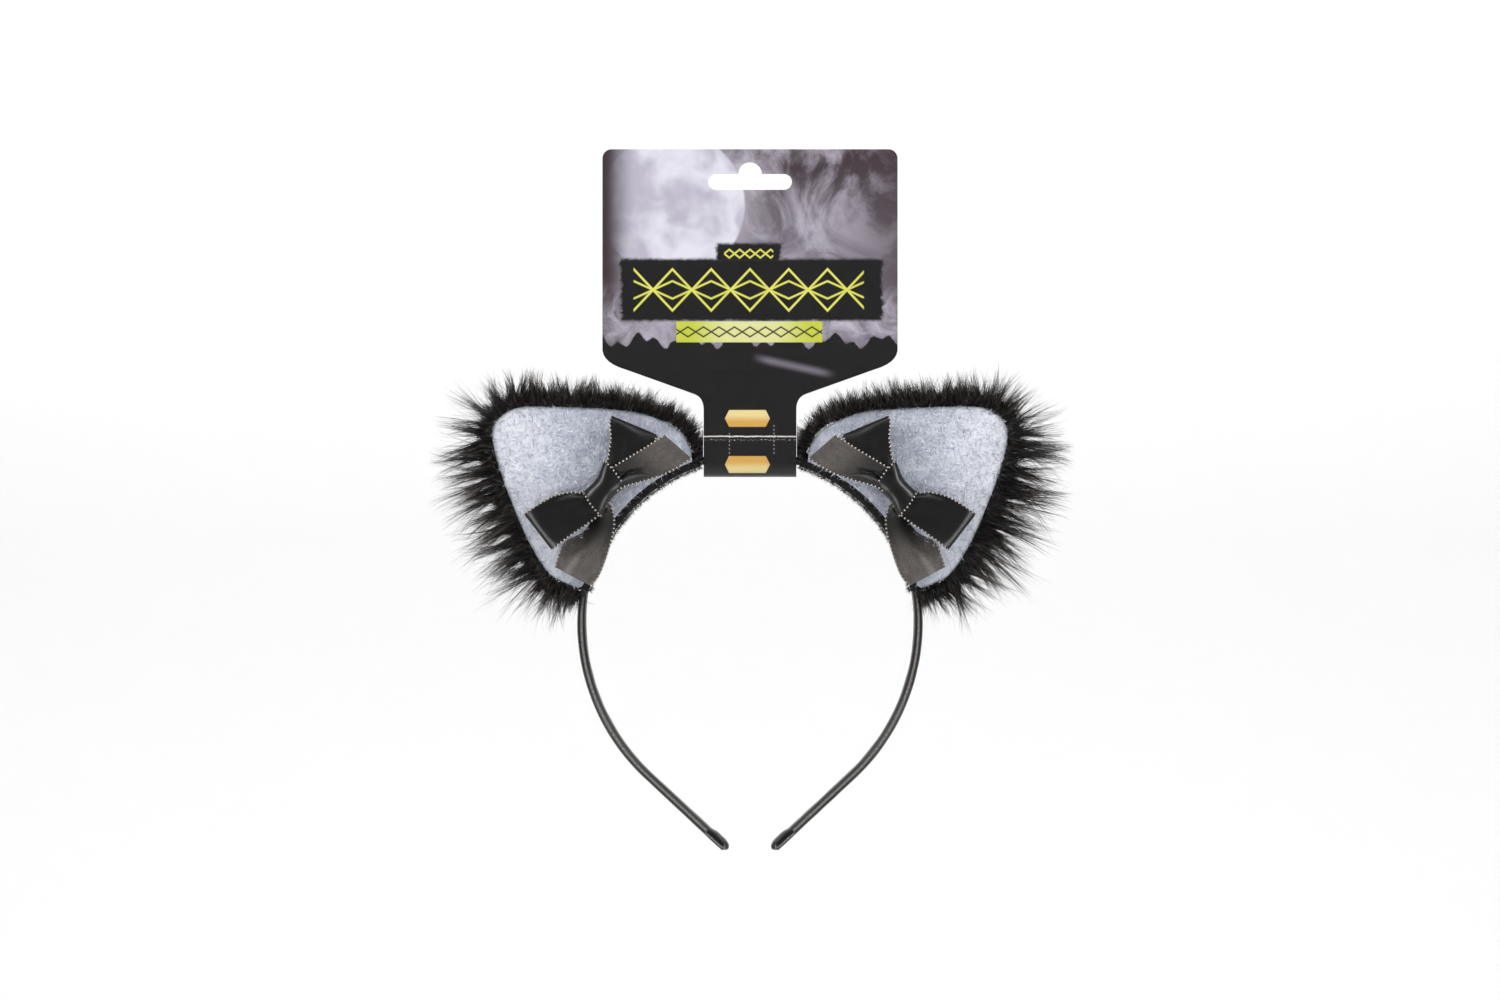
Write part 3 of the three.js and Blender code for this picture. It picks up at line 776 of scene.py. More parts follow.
# Where the hair starts to be pressed back, and where it ends at most: to the side, in front, behind.
SIDE_ROOM = (118.0, 129.5)
FRONT_ROOM = (19.0, 25.0)
BACK_ROOM = (12.0, 17.0)


def press_back(distance, room):
    """Distances beyond the first value of room are squeezed so that none passes the second."""
    start, end = room
    over = np.maximum(distance - start, 0)
    return np.minimum(distance, start) + (end - start) * (1 - np.exp(-over / (end - start)))


def keep_in_room(points, local):
    """Hair is pressed against the card's neck instead of passing through, and kept within its room."""
    sign = np.sign(points[:, 0])
    beside = points[:, 2] < NECK_TOP
    least = NECK_CLEAR + local.uniform(0, 0.3, len(points))
    points[:, 0] = np.where(beside, sign * np.maximum(np.abs(points[:, 0]), least), points[:, 0])
    points[:, 0] = sign * press_back(np.abs(points[:, 0]), SIDE_ROOM)
    points[:, 1] = press_back(points[:, 1], BACK_ROOM)
    points[:, 1] = -press_back(-points[:, 1], FRONT_ROOM)
    return points


def strands(roots, ways, lengths, local, bend, stations=5):
    """Single hairs as middle lines: each grows along its way and bends to one side."""
    n = len(roots)
    t = np.linspace(0, 1, stations)[None, :, None]
    side_way = unit(np.cross(ways, local.normal(size=(n, 3))))
    curl = (local.normal(0, bend, n) * lengths)[:, None, None] * side_way[:, None]
    return roots[:, None] + (ways * lengths[:, None])[:, None] * t + curl * t**2


def locks(roots, ways, lengths, per, local, spread, gather, stations=6):
    """Hairs in pointed locks: per hairs about each root, gathered towards the lock's own curved line."""
    n = len(roots)
    side_way = unit(np.cross(ways, local.normal(size=(n, 3))))
    sweep = (local.normal(0, 0.16, n) * lengths)[:, None] * side_way
    k = np.repeat(np.arange(n), per)
    m = len(k)
    offset = local.normal(size=(m, 3)) * spread
    share = local.uniform(0.35, 1.0, m)
    t = np.linspace(0, 1, stations)[None, :, None] * share[:, None, None]
    line = roots[k][:, None] + (ways * lengths[:, None])[k][:, None] * t + sweep[k][:, None] * t**2
    hold = gather[k][:, None, None]
    wild = local.normal(0, 0.038, (m, 3)) * lengths[k][:, None]
    return line + offset[:, None] * (1 - hold * t**0.6) + wild[:, None] * t**1.5


def hash_name(name):
    """A small number that depends only on the name, to seed its randomness."""
    return sum((i + 1) * ord(c) for i, c in enumerate(name))


def unit(vectors):
    """The vectors at length 1."""
    return vectors / np.maximum(np.linalg.norm(vectors, axis=-1, keepdims=True), 1e-9)


def at(line, s):
    """Points of an evenly sampled line at shares s of its length."""
    place = np.linspace(0, 1, len(line))
    return np.stack([np.interp(s, place, line[:, k]) for k in range(line.shape[1])], 1)


def turned(way, angle):
    """Flat directions turned by angles."""
    c, s = np.cos(angle), np.sin(angle)
    return np.stack([way[:, 0] * c - way[:, 1] * s, way[:, 0] * s + way[:, 1] * c], 1)


def rim_height(q):
    """The ground's w across the rim, from the felt's edge at q 0 to the outer limit at q 1."""
    return FELT_W + 0.5 + (2.2 - FELT_W) * q**1.9


def rim_root(s, q):
    """Points on the rim's ground: s along the edge, q from the felt outwards."""
    out = 0.2 + q * (np.interp(s, GROUND_AT, GROUND) - 0.4)
    flat = at(RIM_LINE, s) + unit(at(RIM_OUT, s)) * out[:, None]
    return np.column_stack([flat, rim_height(q)])


def rim_locks(side):
    """The long guard hairs round the rim: pointed locks that stand in groups, leaning this way and that."""
    local = np.random.default_rng(41 + SIDES[side])
    count, groups = RIM_LOCKS, RIM_GROUPS
    centres = np.sort((np.arange(groups) + local.uniform(-0.3, 0.3, groups)) / (groups - 1))
    s = local.uniform(0, 1, count)
    group = np.abs(s[:, None] - centres[None]).argmin(1)
    pull = np.interp(s, [0, 0.4, 0.55, 1], [0.1, 0.15, 0.5, 0.5])
    s = np.clip(s + (centres[group] - s) * pull, 0, 1)
    q = local.uniform(0.15, 1.0, count)
    roots = rim_root(s, q)
    lean = np.clip(local.normal(0, 0.2, groups), -0.36, 0.36)
    way = turned(unit(at(RIM_OUT, s)), lean[group] + local.normal(0, 0.11, count))
    front = np.interp(q, [0, 1], [-0.30, 0.30]) + local.normal(0, 0.2, count)
    ways = unit(np.column_stack([way, front]))
    reach = np.interp(s, REACH_AT, REACH) - q * np.interp(s, GROUND_AT, GROUND)
    tall = np.clip(local.normal(1.0, 0.13, groups), 0.72, 1.2)
    uneven = np.interp(s, [0, 0.42, 0.55, 1], [0.35, 0.45, 1, 1])
    lengths = reach * (1 + (tall[group] - 1) * uneven) * np.clip(local.normal(0.9, 0.2, count), 0.35, 1.12)
    gather = np.interp(s, [0, 0.35, 0.5, 0.6, 1], [0.5, 0.6, 0.85, 0.97, 0.95])
    spread = np.array([0.75, 0.75, 0.9])
    middle = locks(roots, ways, lengths, RIM_LOCK_HAIRS, local, spread, gather)
    hairs(f"{side}_ear_fur_locks", middle, side, "fur", 0.19, local.uniform(0, 1, len(middle)))


def rim_under(side):
    """The short dense pile next to the felt, some of it lapping over the felt's edge."""
    local = np.random.default_rng(83 + SIDES[side])
    count = RIM_UNDER_HAIRS
    s = local.uniform(0, 1, count)
    q = local.uniform(0, 1, count) ** 1.2
    roots = rim_root(s, q)
    way = turned(unit(at(RIM_OUT, s)), local.normal(0, 0.5, count))
    ways = unit(np.column_stack([way, local.normal(-0.45, 0.45, count) + 0.7 * q]))
    lengths = local.uniform(1.6, 6.0, count) * np.interp(s, [0, 0.3, 1], [0.85, 0.9, 1.15])
    middle = strands(roots, ways, lengths, local, 0.22, 4)
    hairs(f"{side}_ear_fur_under", middle, side, "fur", 0.2, local.uniform(0, 1, count))


def rim_flyaways(side):
    """Thin single hairs that stray beyond the locks, and a few across the felt's edge."""
    local = np.random.default_rng(97 + SIDES[side])
    count = RIM_FLYAWAYS
    s = local.uniform(0, 1, count)
    q = local.uniform(0, 1, count)
    roots = rim_root(s, q)
    way = turned(unit(at(RIM_OUT, s)), local.normal(0, 0.38, count))
    ways = unit(np.column_stack([way, local.normal(0, 0.35, count)]))
    lengths = np.interp(s, REACH_AT, REACH) * local.uniform(0.3, 1.0, count)
    inward = local.uniform(0, 1, count) < 0.14
    ways[inward, :2] *= -0.6
    lengths[inward] = local.uniform(1.5, 4.0, inward.sum())
    roots[inward, 2] -= 0.4
    middle = strands(roots, ways, lengths, local, 0.2)
    hairs(f"{side}_ear_fur_flyaways", middle, side, "fur", 0.11, local.uniform(0.2, 1, count))


# ---------------------------------------------------------------- ears

PILE_RING = closed_outline(GROUND_LINE, PILE_BASE, 150)
FELT_RING = closed_outline(FELT_LINE, FELT_BASE, 180)
EAR_CENTRE = np.array([-1.0, 90.0])


def rings_towards(centre, ring, shares):
    """Copies of a closed ring, shrunk towards the centre by each share."""
    return [centre + (ring - centre) * share for share in shares]


def stuffed_back(side):
    """The stuffed body under the pile: a closed form, crowned at the back and front, inflated as cloth."""
    shares = np.linspace(0.08, 1, 12)
    back, front = [], []
    for share, ring in zip(shares, rings_towards(EAR_CENTRE, PILE_RING, shares * 0.97)):
        crown = (1 - share**2.6) ** 0.55
        back.append(np.column_stack([ring, np.full(len(ring), SEAM_W + (BACK_W - 3.8) * crown)]))
        front.append(np.column_stack([ring, np.full(len(ring), SEAM_W + (FELT_W + 0.7) * crown)]))
    rings = front + back[::-1][1:]
    points, faces = capped_tube(rings)
    flip = side == "right"
    body = make_object(f"{side}_ear_stuffing", ear_to_frame(points, side), faces, LOOKS["hide"], flip=flip)
    inflate(body)
    nodes = [f"{side}_ear_{part}" for part in ("fur_back", "fur_margin", "wadding")]
    belongs(body, "crown", "faux_fur", *nodes)


def active(obj):
    """Makes the object the only one selected, and the active one."""
    for other in bpy.context.selected_objects:
        other.select_set(False)
    obj.select_set(True)
    bpy.context.view_layer.objects.active = obj


def apply_modifiers(obj):
    """Applies the object's modifiers to its mesh, in their order."""
    active(obj)
    for modifier in list(obj.modifiers):
        bpy.ops.object.modifier_apply(modifier=modifier.name)


VOXEL = 3.5 * MM
PUFF_LIMIT = 1.2 * MM
PUFF_FRAMES = 20


def inflate(obj):
    """Remeshes a closed form, puffs it up as cloth for a few frames and caps how far it moves."""
    remesh = obj.modifiers.new("even", "REMESH")
    remesh.mode = "VOXEL"
    remesh.voxel_size = VOXEL
    apply_modifiers(obj)
    rest = np.array([v.co for v in obj.data.vertices])
    cloth = obj.modifiers.new("cloth", "CLOTH")
    cloth.settings.use_pressure = True
    cloth.settings.uniform_pressure_force = 4.0
    cloth.settings.effector_weights.gravity = 0
    cloth.settings.mass = 0.2
    scene = bpy.context.scene
    for step in range(1, PUFF_FRAMES + 1):
        scene.frame_set(step)
    graph = bpy.context.evaluated_depsgraph_get()
    puffed = np.array([v.co for v in obj.evaluated_get(graph).data.vertices])
    obj.modifiers.remove(cloth)
    scene.frame_set(1)
    move = puffed - rest
    size = np.linalg.norm(move, axis=1, keepdims=True)
    move *= np.minimum(1, PUFF_LIMIT / np.maximum(size, 1e-9))
    obj.data.vertices.foreach_set("co", (rest + move).astype(np.float32).ravel())
    smooth = obj.modifiers.new("fine", "SUBSURF")
    smooth.levels = smooth.render_levels = 1
    apply_modifiers(obj)
    obj.data.polygons.foreach_set("use_smooth", [True] * len(obj.data.polygons))


DIMPLE = (6.5, 90.0)
FELT_THICKNESS = 0.9


def felt_height(flat):
    """The felt's w: lightly crowned, rolled back at its sewn edge, with a dimple by the bow."""
    u, v = flat[:, 0], flat[:, 1]
    rim = nearest(flat, FELT_RING)
    crown = -1.5 * smoothstep(rim, 0, 16)
    roll = 0.4 * (1 - smoothstep(rim, 0, 2.2))
    dimple = 1.1 * np.exp(-((u - DIMPLE[0]) ** 2 + (v - DIMPLE[1]) ** 2) / 14)
    waves = 0.22 * np.sin(u * 0.31 + 1.1) * np.sin(v * 0.24 + u * 0.09)
    return FELT_W + 0.6 + crown + roll + dimple + waves


def nearest(points, ring):
    """Distance from each point to the nearest vertex of a ring."""
    return np.sqrt(((points[:, None] - ring[None]) ** 2).sum(2)).min(1)


def felt_panel(side):
    """The fleece front: a crowned skin, a little under 1 mm thick."""
    shares = np.linspace(0.03, 1, 40)
    flat = np.vstack(rings_towards(EAR_CENTRE, FELT_RING, shares))
    front = np.column_stack([flat, felt_height(flat)])
    columns, rows = len(FELT_RING), len(shares)
    faces = grid_faces(rows, columns, close_columns=True)
    centre = np.append(EAR_CENTRE, front[:columns, 2].mean())
    points = np.vstack([front, centre])
    faces += [(rows * columns, (j + 1) % columns, j) for j in range(columns)]
    uv = points[:, :2]
    placed, flip = ear_to_frame(points, side), side == "left"
    panel = make_object(f"{side}_ear_felt_panel", placed, faces, LOOKS["felt"], uv=uv, flip=flip)
    thick = panel.modifiers.new("thick", "SOLIDIFY")
    thick.thickness = FELT_THICKNESS * MM
    thick.offset = -1
    apply_modifiers(panel)
    belongs(panel, "crown", "felt", f"{side}_ear_felt")


def inside_points(ring, count, local):
    """Random points inside a ring that is star-shaped about the ear's centre."""
    index = local.integers(0, len(ring), count)
    a, b = ring[index], ring[(index + 1) % len(ring)]
    r1, r2 = np.sqrt(local.uniform(0, 1, count)), local.uniform(0, 1, count)
    return EAR_CENTRE + ((a - EAR_CENTRE) * (1 - r2[:, None]) + (b - EAR_CENTRE) * r2[:, None]) * r1[:, None]


def felt_fibres(side, count):
    """Short tangled fibres lying over the felt in every direction."""
    local = np.random.default_rng(310 + SIDES[side])
    flat = EAR_CENTRE + (inside_points(FELT_RING, count, local) - EAR_CENTRE) * 0.985
    roots = np.column_stack([flat, felt_height(flat) + 0.05])
    turn = local.uniform(0, 2 * math.pi, count)
    ways = unit(np.column_stack([np.cos(turn), np.sin(turn), local.uniform(-0.3, -0.02, count)]))
    middle = strands(roots, ways, local.uniform(0.9, 2.8, count), local, 0.5, 4)
    hairs(f"{side}_ear_felt_fibres", middle, side, "fibre", 0.21, local.uniform(0, 1, count))


def back_surface(flat):
    """The w of the ear's back under its pile, and how near the rim each point is, from 0 to 1."""
    share = np.clip(1 - nearest(flat, PILE_RING) / 26, 0, 1)
    return SEAM_W + (BACK_W - 3.6) * (1 - share**2.6) ** 0.55, share


def back_fur(side):
    """Long pile on the back, in locks combed from the band towards the tip and the rim."""
    local = np.random.default_rng(520 + SIDES[side])
    count = BACK_LOCKS
    flat = EAR_CENTRE + (inside_points(PILE_RING, count, local) - EAR_CENTRE) * 0.99
    height, share = back_surface(flat)
    away = unit(flat - np.array([-2.0, 48.0]))
    turn = 0.35 * np.sin(flat[:, 0] * 0.21 + 1) * np.sin(flat[:, 1] * 0.17) + local.normal(0, 0.2, count)
    ways = unit(np.column_stack([turned(away, turn), local.uniform(0.16, 0.42, count) * (1 - 0.6 * share)]))
    lengths = local.uniform(10.5, 16.5, count) * (1 - 0.55 * share**2)
    gather = np.full(count, 0.62)
    roots = np.column_stack([flat, height])
    spread = np.array([2.1, 2.1, 0.5])
    middle = locks(roots, ways, lengths, BACK_LOCK_HAIRS, local, spread, gather)
    hairs(f"{side}_ear_fur_back_pile", middle, side, "fur", 0.26, local.uniform(0, 1, len(middle)))


def hem(side):
    """The furry hem round the band under the ear, with its short pile."""
    sign = SIDES[side]
    count, columns = 70, 28
    s = np.linspace(HEM_FROM, HEM_TO, count) * BAND_RADIUS
    t = np.linspace(0, 1, count)
    drop = 0.35 + 0.3 * np.sin(math.pi * t)

    def section(i):
        low = -BAND_THICKNESS / 2 - drop[i]
        high = BAND_THICKNESS / 2 + 2.6
        ring = superellipse(BAND_WIDTH + 2.2, high - low, 2.6, columns)
        ring[:, 1] += (high + low) / 2
        return ring

    points, faces = capped_tube(band_rings(sign * s, section))
    body = make_object(f"{side}_ear_hem_fabric", points, faces, LOOKS["hide"], flip=sign < 0)
    belongs(body, "crown", "faux_fur", f"{side}_ear_hem")
    hem_fur(side, HEM_HAIRS)


def hem_fur(side, count):
    """Short hairs all round the hem."""
    local = np.random.default_rng(640 + SIDES[side])
    share = local.uniform(0, 1, count)
    angle = EAR_ANGLE - (HEM_FROM + (HEM_TO - HEM_FROM) * share)
    turn = local.uniform(0, 2 * math.pi, count)
    drop = 0.3 + 0.3 * np.sin(math.pi * share)
    across = np.cos(turn) * (BAND_WIDTH / 2 + 1.0)
    lift = np.sin(turn) * (BAND_THICKNESS / 2 + 1.5 + drop / 2) + 1.0 - drop / 2
    radius = BAND_RADIUS + lift
    roots = np.column_stack([radius * np.sin(angle), radius * np.cos(angle), across])
    tangent = np.column_stack([np.cos(angle), -np.sin(angle), np.zeros(count)])
    radial = np.column_stack([np.sin(angle), np.cos(angle), np.zeros(count)])
    out = radial * np.sin(turn)[:, None] + np.array([0, 0, 1.0]) * np.cos(turn)[:, None]
    slant = tangent * local.normal(0, 0.9, count)[:, None]
    ways = unit(out * 0.55 + slant + radial * local.normal(-0.15, 0.25, count)[:, None])
    middle = strands(roots, ways, local.uniform(0.7, 2.1, count), local, 0.2, 4)
    hairs(f"{side}_ear_hem_pile", middle, side, "fur", 0.18, local.uniform(0, 0.9, count))


# ---------------------------------------------------------------- bows

RIBBON_WIDTH = 17.0
RIBBON_THICKNESS = 0.26
LOOP_LENGTH = 60
TAIL_LENGTH = 33
KNOT_LENGTH = 34.0
# Each ribbon is given by its two long edges, as (u, v, w) from the knot outwards.
UPPER_LOOP = (
    [
        (4, 79.5, -12.4), (11.5, 81.6, -13.0), (16.4, 84.2, -13.9), (20.6, 87, -14.1),
        (24.6, 90.9, -13.2), (26.9, 92, -11.1), (25.4, 91, -8.8), (19.4, 86.6, -7.6), (12, 82, -8.2),
        (4, 79, -9.6),
    ],
    [
        (4, 73, -12.2), (11, 72.4, -12.9), (17, 71.4, -13.3), (24, 71.6, -13.4), (30, 73, -12.8),
        (32.6, 73.7, -10.9), (30.4, 73.2, -8.6), (21, 71.8, -7.6), (12, 72.6, -8.2), (4, 73.5, -9.6),
    ],
)
LOWER_LOOP = (
    [
        (2, 79.4, -12.2), (-2.6, 81, -13.0), (-5.8, 85.2, -13.6), (-10.5, 88.9, -13.9),
        (-15.5, 91, -13.9), (-18.9, 92.1, -13.4), (-21.9, 92.9, -12.2), (-23.7, 93.4, -10.4),
        (-21.6, 92.6, -8.9), (-14, 89.8, -7.8), (-5, 83.4, -8.4), (2, 79, -9.8),
    ],
    [
        (1, 71.4, -12.0), (-5.2, 71.2, -12.7), (-10, 72.2, -13.2), (-15, 73.6, -13.8),
        (-19.2, 74.7, -13.9), (-22.6, 75.6, -13.4), (-25.6, 76.2, -12.2), (-27.4, 76.5, -10.4),
        (-25.2, 76.3, -8.9), (-17, 74.6, -7.8), (-7, 72.4, -8.4), (1, 72, -9.8),
    ],
)
UPPER_TAIL = (
    [
        (4, 79.2, -12.0), (10.6, 79.2, -13.2), (17, 77.2, -14.7), (25.2, 74.4, -14.9),
        (34.4, 71.5, -13.9),
    ],
    [
        (4, 72.2, -11.8), (9.2, 70.8, -12.8), (17.3, 65.4, -14.3), (24.5, 61.2, -13.9),
        (34.2, 57.9, -12.6),
    ],
)
LOWER_TAIL = (
    [
        (0, 74.5, -10.6), (-3.4, 73.2, -9.4), (-7.8, 72.8, -8.2), (-14, 73.9, -7.4), (-22.2, 74.7, -7.3),
        (-27.4, 73.2, -7.5), (-31.8, 71.4, -8.1),
    ],
    [
        (2.5, 73.5, -11.0), (0.2, 70.3, -10.2), (-2.6, 66.2, -9.2), (-7.0, 62.9, -8.4),
        (-15.2, 59.1, -8.0), (-23.0, 56.4, -8.4), (-28.4, 56.1, -9.2),
    ],
)


def ribbon(name, side, edges, folds, length, held, look):
    """A satin ribbon between its two long edges.

    folds(t, b) is added to w: t runs from 0 to 1 along the ribbon, b from -1 to 1 between its edges.
    """
    rows, columns = 90, 41
    a, c = (smooth_curve(edge, rows) for edge in edges)
    b = np.linspace(-1, 1, columns)
    share = ((1 - b) / 2)[None, :, None]
    points = a[:, None] * share + c[:, None] * (1 - share)
    t = np.linspace(0, 1, rows)[:, None]
    points[:, :, 2] += folds(t, b[None])
    placed = ear_to_frame(points.reshape(-1, 3), side)
    step = np.linalg.norm(np.diff((a + c) / 2, axis=0), axis=1)
    along = np.concatenate([[0], np.cumsum(step)])
    uv = np.stack(np.meshgrid(along, b * RIBBON_WIDTH / 2, indexing="ij"), 2).reshape(-1, 2)
    obj = make_object(name, placed, grid_faces(rows, columns), LOOKS[look], uv=uv)
    finish_ribbon(obj, side, f"{name}_edge", (points[:, 0], points[:, -1]))


def finish_ribbon(obj, side, edge_name, edge_lines):
    thick = obj.modifiers.new("thick", "SOLIDIFY")
    thick.thickness = RIBBON_THICKNESS * MM
    thick.offset = 0
    apply_modifiers(obj)
    belongs(obj, "crown", "bow_satin", obj.name.removesuffix("_satin"))
    edges = [selvedge(f"{edge_name}_{letter}", line, side) for letter, line in zip("ab", edge_lines)]


SELVEDGE_STEP = 0.2  # between the rings that make up the bead


def selvedge(name, line, side):
    """The stitched edge of a ribbon: a fine bead with a scalloped outline."""
    length = np.linalg.norm(np.diff(line, axis=0), axis=1).sum()
    count, columns = int(length / SELVEDGE_STEP), 6
    path = resample(line, count)
    way = unit(np.gradient(path, axis=0))
    normal = unit(np.cross(way, [0, 0.3, 1.0]))
    other = np.cross(way, normal)
    at_mm = np.linspace(0, length, count)
    radius = 0.22 + 0.17 * np.sin(at_mm * 2 * math.pi / PICOT)
    rings = []
    for i in range(count):
        t = np.linspace(0, 2 * math.pi, columns, endpoint=False)[:, None]
        rings.append(path[i] + radius[i] * (np.cos(t) * normal[i] + np.sin(t) * other[i]))
    points, faces = capped_tube(rings)
    uv = ring_uv(count, columns, length, 2)
    obj = make_object(name, ear_to_frame(points, side), faces, LOOKS["edge"], uv=uv)
    belongs(obj, "crown", "bow_satin")
    return obj


def arch(t, b, centre, width, height):
    """A raised area bounded by an arch that springs from the ribbon's second edge."""
    top = 1 - height * np.clip(1 - ((t - centre) / width) ** 2, 0, 1)
    return smoothstep(b - top, -0.14, 0.3) * (np.abs(t - centre) < width)


def upper_loop_folds(t, b):
    near = 1 - smoothstep(t, 0.05, 0.32)
    back = smoothstep(t, 0.55, 0.7)
    pleat = 0.7 * np.cos(b * 6.4 + 0.6) * near * (1 - back)
    front = smoothstep(t, 0.1, 0.3) * (1 - smoothstep(t, 0.4, 0.5))
    belly = -0.9 * np.exp(-(((b + 0.15 - t) / 0.5) ** 2)) * front
    return pleat + belly + 0.5 * back * (1 - b**2)


def lower_loop_folds(t, b):
    near = 1 - smoothstep(t, 0.05, 0.3)
    back = smoothstep(t, 0.55, 0.7)
    roll = 2.7 * np.exp(-(((b + 1) / 0.36) ** 2)) * (1 - smoothstep(t, 0.22, 0.45))
    hollow = 1.3 * (1 - b**2) * smoothstep(t, 0.08, 0.25) * (1 - smoothstep(t, 0.36, 0.48))
    return 0.35 * np.cos(b * 6 + 1.4) * near * (1 - back) + roll + hollow + 0.4 * back * (1 - b**2)


def upper_tail_folds(t, b):
    near = 1 - smoothstep(t, 0.02, 0.3)
    bulge = -1.9 * arch(t, b, 0.3, 0.27, 1.0)
    valley = 1.7 * np.exp(-(((b + 0.05 - 0.5 * t) / 0.34) ** 2)) * (1 - smoothstep(t, 0.3, 0.75))
    curl = 0.5 * np.sin(t * 5.2) * b + 0.5 * np.exp(-(((t - 0.9) / 0.16) ** 2)) * (1 - b**2)
    return bulge + valley + curl + 0.25 * np.cos(b * 7) * near


def lower_tail_folds(t, b):
    near = 1 - smoothstep(t, 0.02, 0.35)
    belly = -1.7 * np.exp(-(((b - 0.3 + 0.3 * t) / 0.45) ** 2)) * smoothstep(t, 0.15, 0.6)
    under = 1.3 * np.exp(-(((b + 0.75) / 0.35) ** 2)) * (1 - smoothstep(t, 0.35, 0.7))
    return belly + under + 0.4 * np.cos(b * 6.5 + 0.4) * near + 0.35 * np.sin(t * 4 + b)


# Each ribbon of a bow: its two edges, its folds, its flat length, how it is held, and its look. The
# loops are folded back behind their outer ends. The tails show the satin's reverse.
RIBBONS = {
    "upper_loop": (UPPER_LOOP, upper_loop_folds, LOOP_LENGTH, "folded", "bow"),
    "lower_loop": (LOWER_LOOP, lower_loop_folds, LOOP_LENGTH, "folded", "bow"),
    "upper_tail": (UPPER_TAIL, upper_tail_folds, TAIL_LENGTH, "laid", "tail"),
    "lower_tail": (LOWER_TAIL, lower_tail_folds, TAIL_LENGTH, "laid", "tail"),
}
KNOT_LEFT = [(-2.7, 80.6), (-4.4, 75.7), (-5.2, 70.9)]
KNOT_RIGHT = [(11.9, 82.3), (11.2, 77.2), (9.4, 71.4)]
KNOT_MIDDLE_W = -11.2
KNOT_FRONT, KNOT_BACK = 4.5, 3.2  # how far it stands out before and behind its middle
KNOT_WIDTH = 13  # across the gathered ribbon, from one stitched edge to the other


def closed_line(line):
    """The line with its first point again at the end."""
    return np.vstack([line, line[:1]])


def bow_knot(side):
    """The knot: ribbon wound once round the bow's waist, with soft folds running round it."""
    rows, columns = 60, 72
    t = np.linspace(0, 2 * math.pi, columns, endpoint=False)
    across = (1 - np.cos(t)) / 2
    left, right = (smooth_curve(edge, rows) for edge in (KNOT_LEFT, KNOT_RIGHT))
    points = np.zeros((rows, columns, 3))
    for i, a in enumerate(np.linspace(0, 1, rows)):
        flat = at(left, across) * (1 - a) + at(right, across) * a
        fold = 0.12 * math.cos(a * 9.4 + 0.5) + 0.06 * math.cos(a * 15 + 2)
        flare = 0.8 * abs(2 * a - 1) ** 4
        depth = np.where(np.sin(t) > 0, KNOT_FRONT + fold - flare, KNOT_BACK)
        points[i, :, :2] = flat
        points[i, :, 2] = KNOT_MIDDLE_W - depth * np.sign(np.sin(t)) * np.abs(np.sin(t)) ** 0.85
        points[i, :, 1] += 0.55 * math.cos(a * math.pi * 2) * np.cos(t)
    placed = ear_to_frame(points.reshape(-1, 3), side)
    across_knot, round_knot = np.linspace(0, KNOT_WIDTH, rows), np.linspace(0, KNOT_LENGTH, columns)
    uv = np.stack(np.meshgrid(across_knot, round_knot, indexing="ij"), 2).reshape(-1, 2)
    faces = grid_faces(rows, columns, close_columns=True)
    knot = make_object(f"{side}_bow_knot_satin", placed, faces, LOOKS["bow"], uv=uv[:, ::-1])
    edge_lines = (closed_line(points[0]), closed_line(points[-1]))
    finish_ribbon(knot, side, f"{side}_bow_knot_edge", edge_lines)


def build_ear(side):
    """One ear with its fur, felt, hem and bow."""
    stuffed_back(side)
    felt_panel(side)
    felt_fibres(side, FELT_FIBRES)
    rim_locks(side)
    rim_under(side)
    rim_flyaways(side)
    back_fur(side)
    hem(side)
    for part, shape in RIBBONS.items():
        ribbon(f"{side}_bow_{part}_satin", side, *shape)
    bow_knot(side)


# ---------------------------------------------------------------- card


def dress_card():
    """The card keeps its CAD shape, and gets its print and crisp edges."""
    card = bpy.data.objects["hang_card"]
    card.data.materials.clear()
    card.data.materials.append(LOOKS["card"])
    edge = card.modifiers.new("edge", "EDGE_SPLIT")
    edge.split_angle = math.radians(35)


# ---------------------------------------------------------------- stage


STUDIO_RADIUS = 2.5
STUDIO_CORNER = 0.8
STUDIO_HEIGHT = 3.6
FLOOR_DROP = 0.7  # the floor lies well below the object, which hangs, so that low lights reach it
PAPER = 0.62


def build_stage():
    """A plain pale floor that curves up into a round wall, so it looks the same from every side."""
    floor_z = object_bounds()[0].z - FLOOR_DROP
    profile = [(0.0, floor_z)]
    for turn in np.linspace(0, math.pi / 2, 16):
        out = STUDIO_RADIUS - STUDIO_CORNER * (1 - math.sin(turn))
        profile.append((out, floor_z + STUDIO_CORNER * (1 - math.cos(turn))))
    profile.append((STUDIO_RADIUS, floor_z + STUDIO_HEIGHT))
    columns = 96
    angles = np.linspace(0, 2 * math.pi, columns, endpoint=False)
    points = [(r * math.cos(t), r * math.sin(t), z) for r, z in profile for t in angles]
    mesh = bpy.data.meshes.new("stage_floor")
    mesh.from_pydata(points, [], grid_faces(len(profile), columns, close_columns=True))
    mesh.polygons.foreach_set("use_smooth", [True] * len(mesh.polygons))
    look = Look("stage_paper", 0.9)
    look.set(Base_Color=(PAPER, PAPER, PAPER, 1))
    mesh.materials.append(look.material)
    floor = bpy.data.objects.new("stage_floor", mesh)
    bpy.context.scene.collection.objects.link(floor)


def area_light(name, place, aim, size, power):
    """A rectangular soft light that faces a point and isn't seen by the camera itself."""
    data = bpy.data.lights.new(name, "AREA")
    data.shape = "RECTANGLE"
    data.size, data.size_y = size
    data.energy = power
    light = bpy.data.objects.new(name, data)
    light.location = place
    light.visible_camera = False
    light.rotation_mode = "QUATERNION"
    light.rotation_quaternion = (Vector(aim) - Vector(place)).to_track_quat("-Z", "Y")
    bpy.context.scene.collection.objects.link(light)


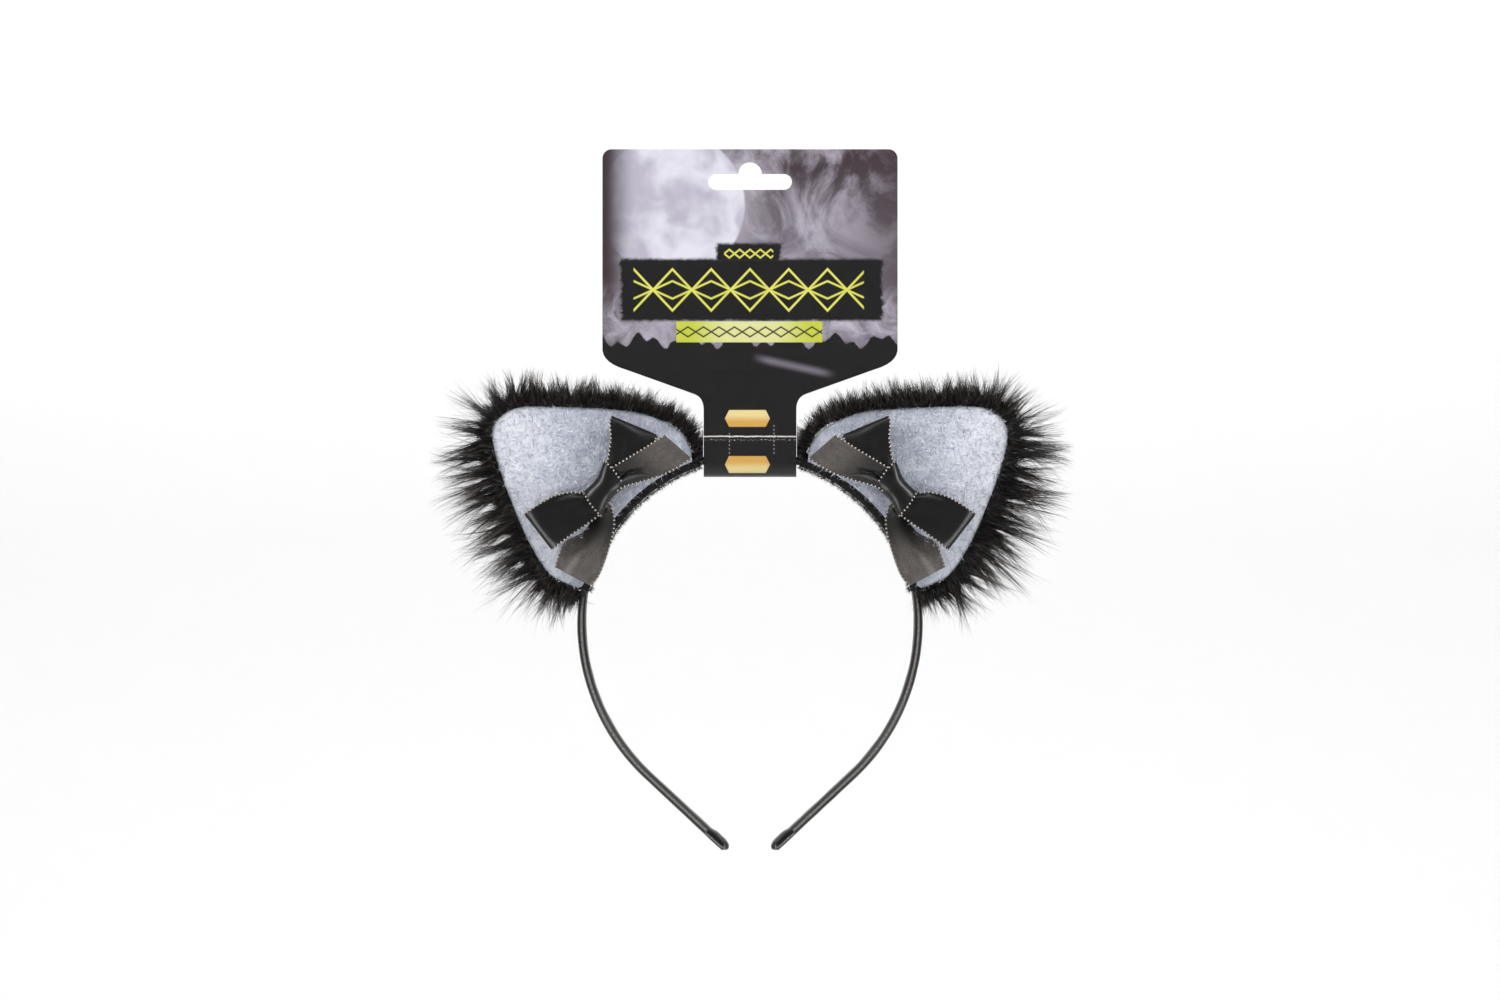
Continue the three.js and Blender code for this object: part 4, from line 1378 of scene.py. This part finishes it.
# The soft boxes on both sides of the camera: place, the point they face, width and height, and power.
FRONT_LIGHTS = {
    "key": ((1.3, -0.75, 0.8), (0, 0, 0), (0.45, 0.8), 17),
    "low": ((0.9, -0.6, -0.6), (0, 0, -0.05), (0.4, 0.4), 5),
}
TOP_POWER = 8
# The lights that face the studio's wall: direction round the object, and power.
WALL_LIGHTS = {"back": (0, 64), "right": (90, 7), "front": (180, 2.5), "left": (270, 7)}
WALL_LIGHT_OUT = 1.2
WALL_LIGHT_HEIGHT = 1.9
WALL_LIGHT_SIZE = (2.0, 0.5)


def build_lights():
    """Two tall and two low soft boxes at the front, a wide one overhead, and four that face the wall."""
    for sign in (-1, 1):
        for name, ((x, y, z), aim, size, power) in FRONT_LIGHTS.items():
            area_light(f"{name}_{sign}", (sign * x, y, z), aim, size, power)
    area_light("top", (0, -0.5, 1.5), (0, 0, 0), (1.2, 0.4), TOP_POWER)
    for name, (degrees, power) in WALL_LIGHTS.items():
        away = Vector((math.sin(math.radians(degrees)), math.cos(math.radians(degrees)), 0))
        place = away * WALL_LIGHT_OUT + Vector((0, 0, WALL_LIGHT_HEIGHT))
        area_light(f"wall_{name}", place, away * STUDIO_RADIUS, WALL_LIGHT_SIZE, power)
    world = bpy.data.worlds.new("studio")
    world.use_nodes = True
    sky = world.node_tree.nodes["Background"]
    sky.inputs["Color"].default_value = (0.95, 0.96, 1.0, 1)
    sky.inputs["Strength"].default_value = 0.08
    bpy.context.scene.world = world
    bpy.context.scene.view_settings.view_transform = "Standard"


LENS = 110
# How much is seen across the picture at the object, and the height of the picture's middle.
FIELD_WIDTH = 0.5805
FIELD_CENTRE_Z = -0.0163


def build_camera():
    """A long lens straight in front of the object."""
    data = bpy.data.cameras.new("camera")
    data.lens = LENS
    distance = FIELD_WIDTH * LENS / data.sensor_width
    camera = bpy.data.objects.new("camera", data)
    camera.location = (0, -distance, FIELD_CENTRE_Z)
    camera.rotation_euler = (math.pi / 2, 0, 0)
    bpy.context.scene.collection.objects.link(camera)
    bpy.context.scene.camera = camera


build_band()
for side in SIDES:
    build_ear(side)
dress_card()
build_stage()
build_lights()
build_camera()
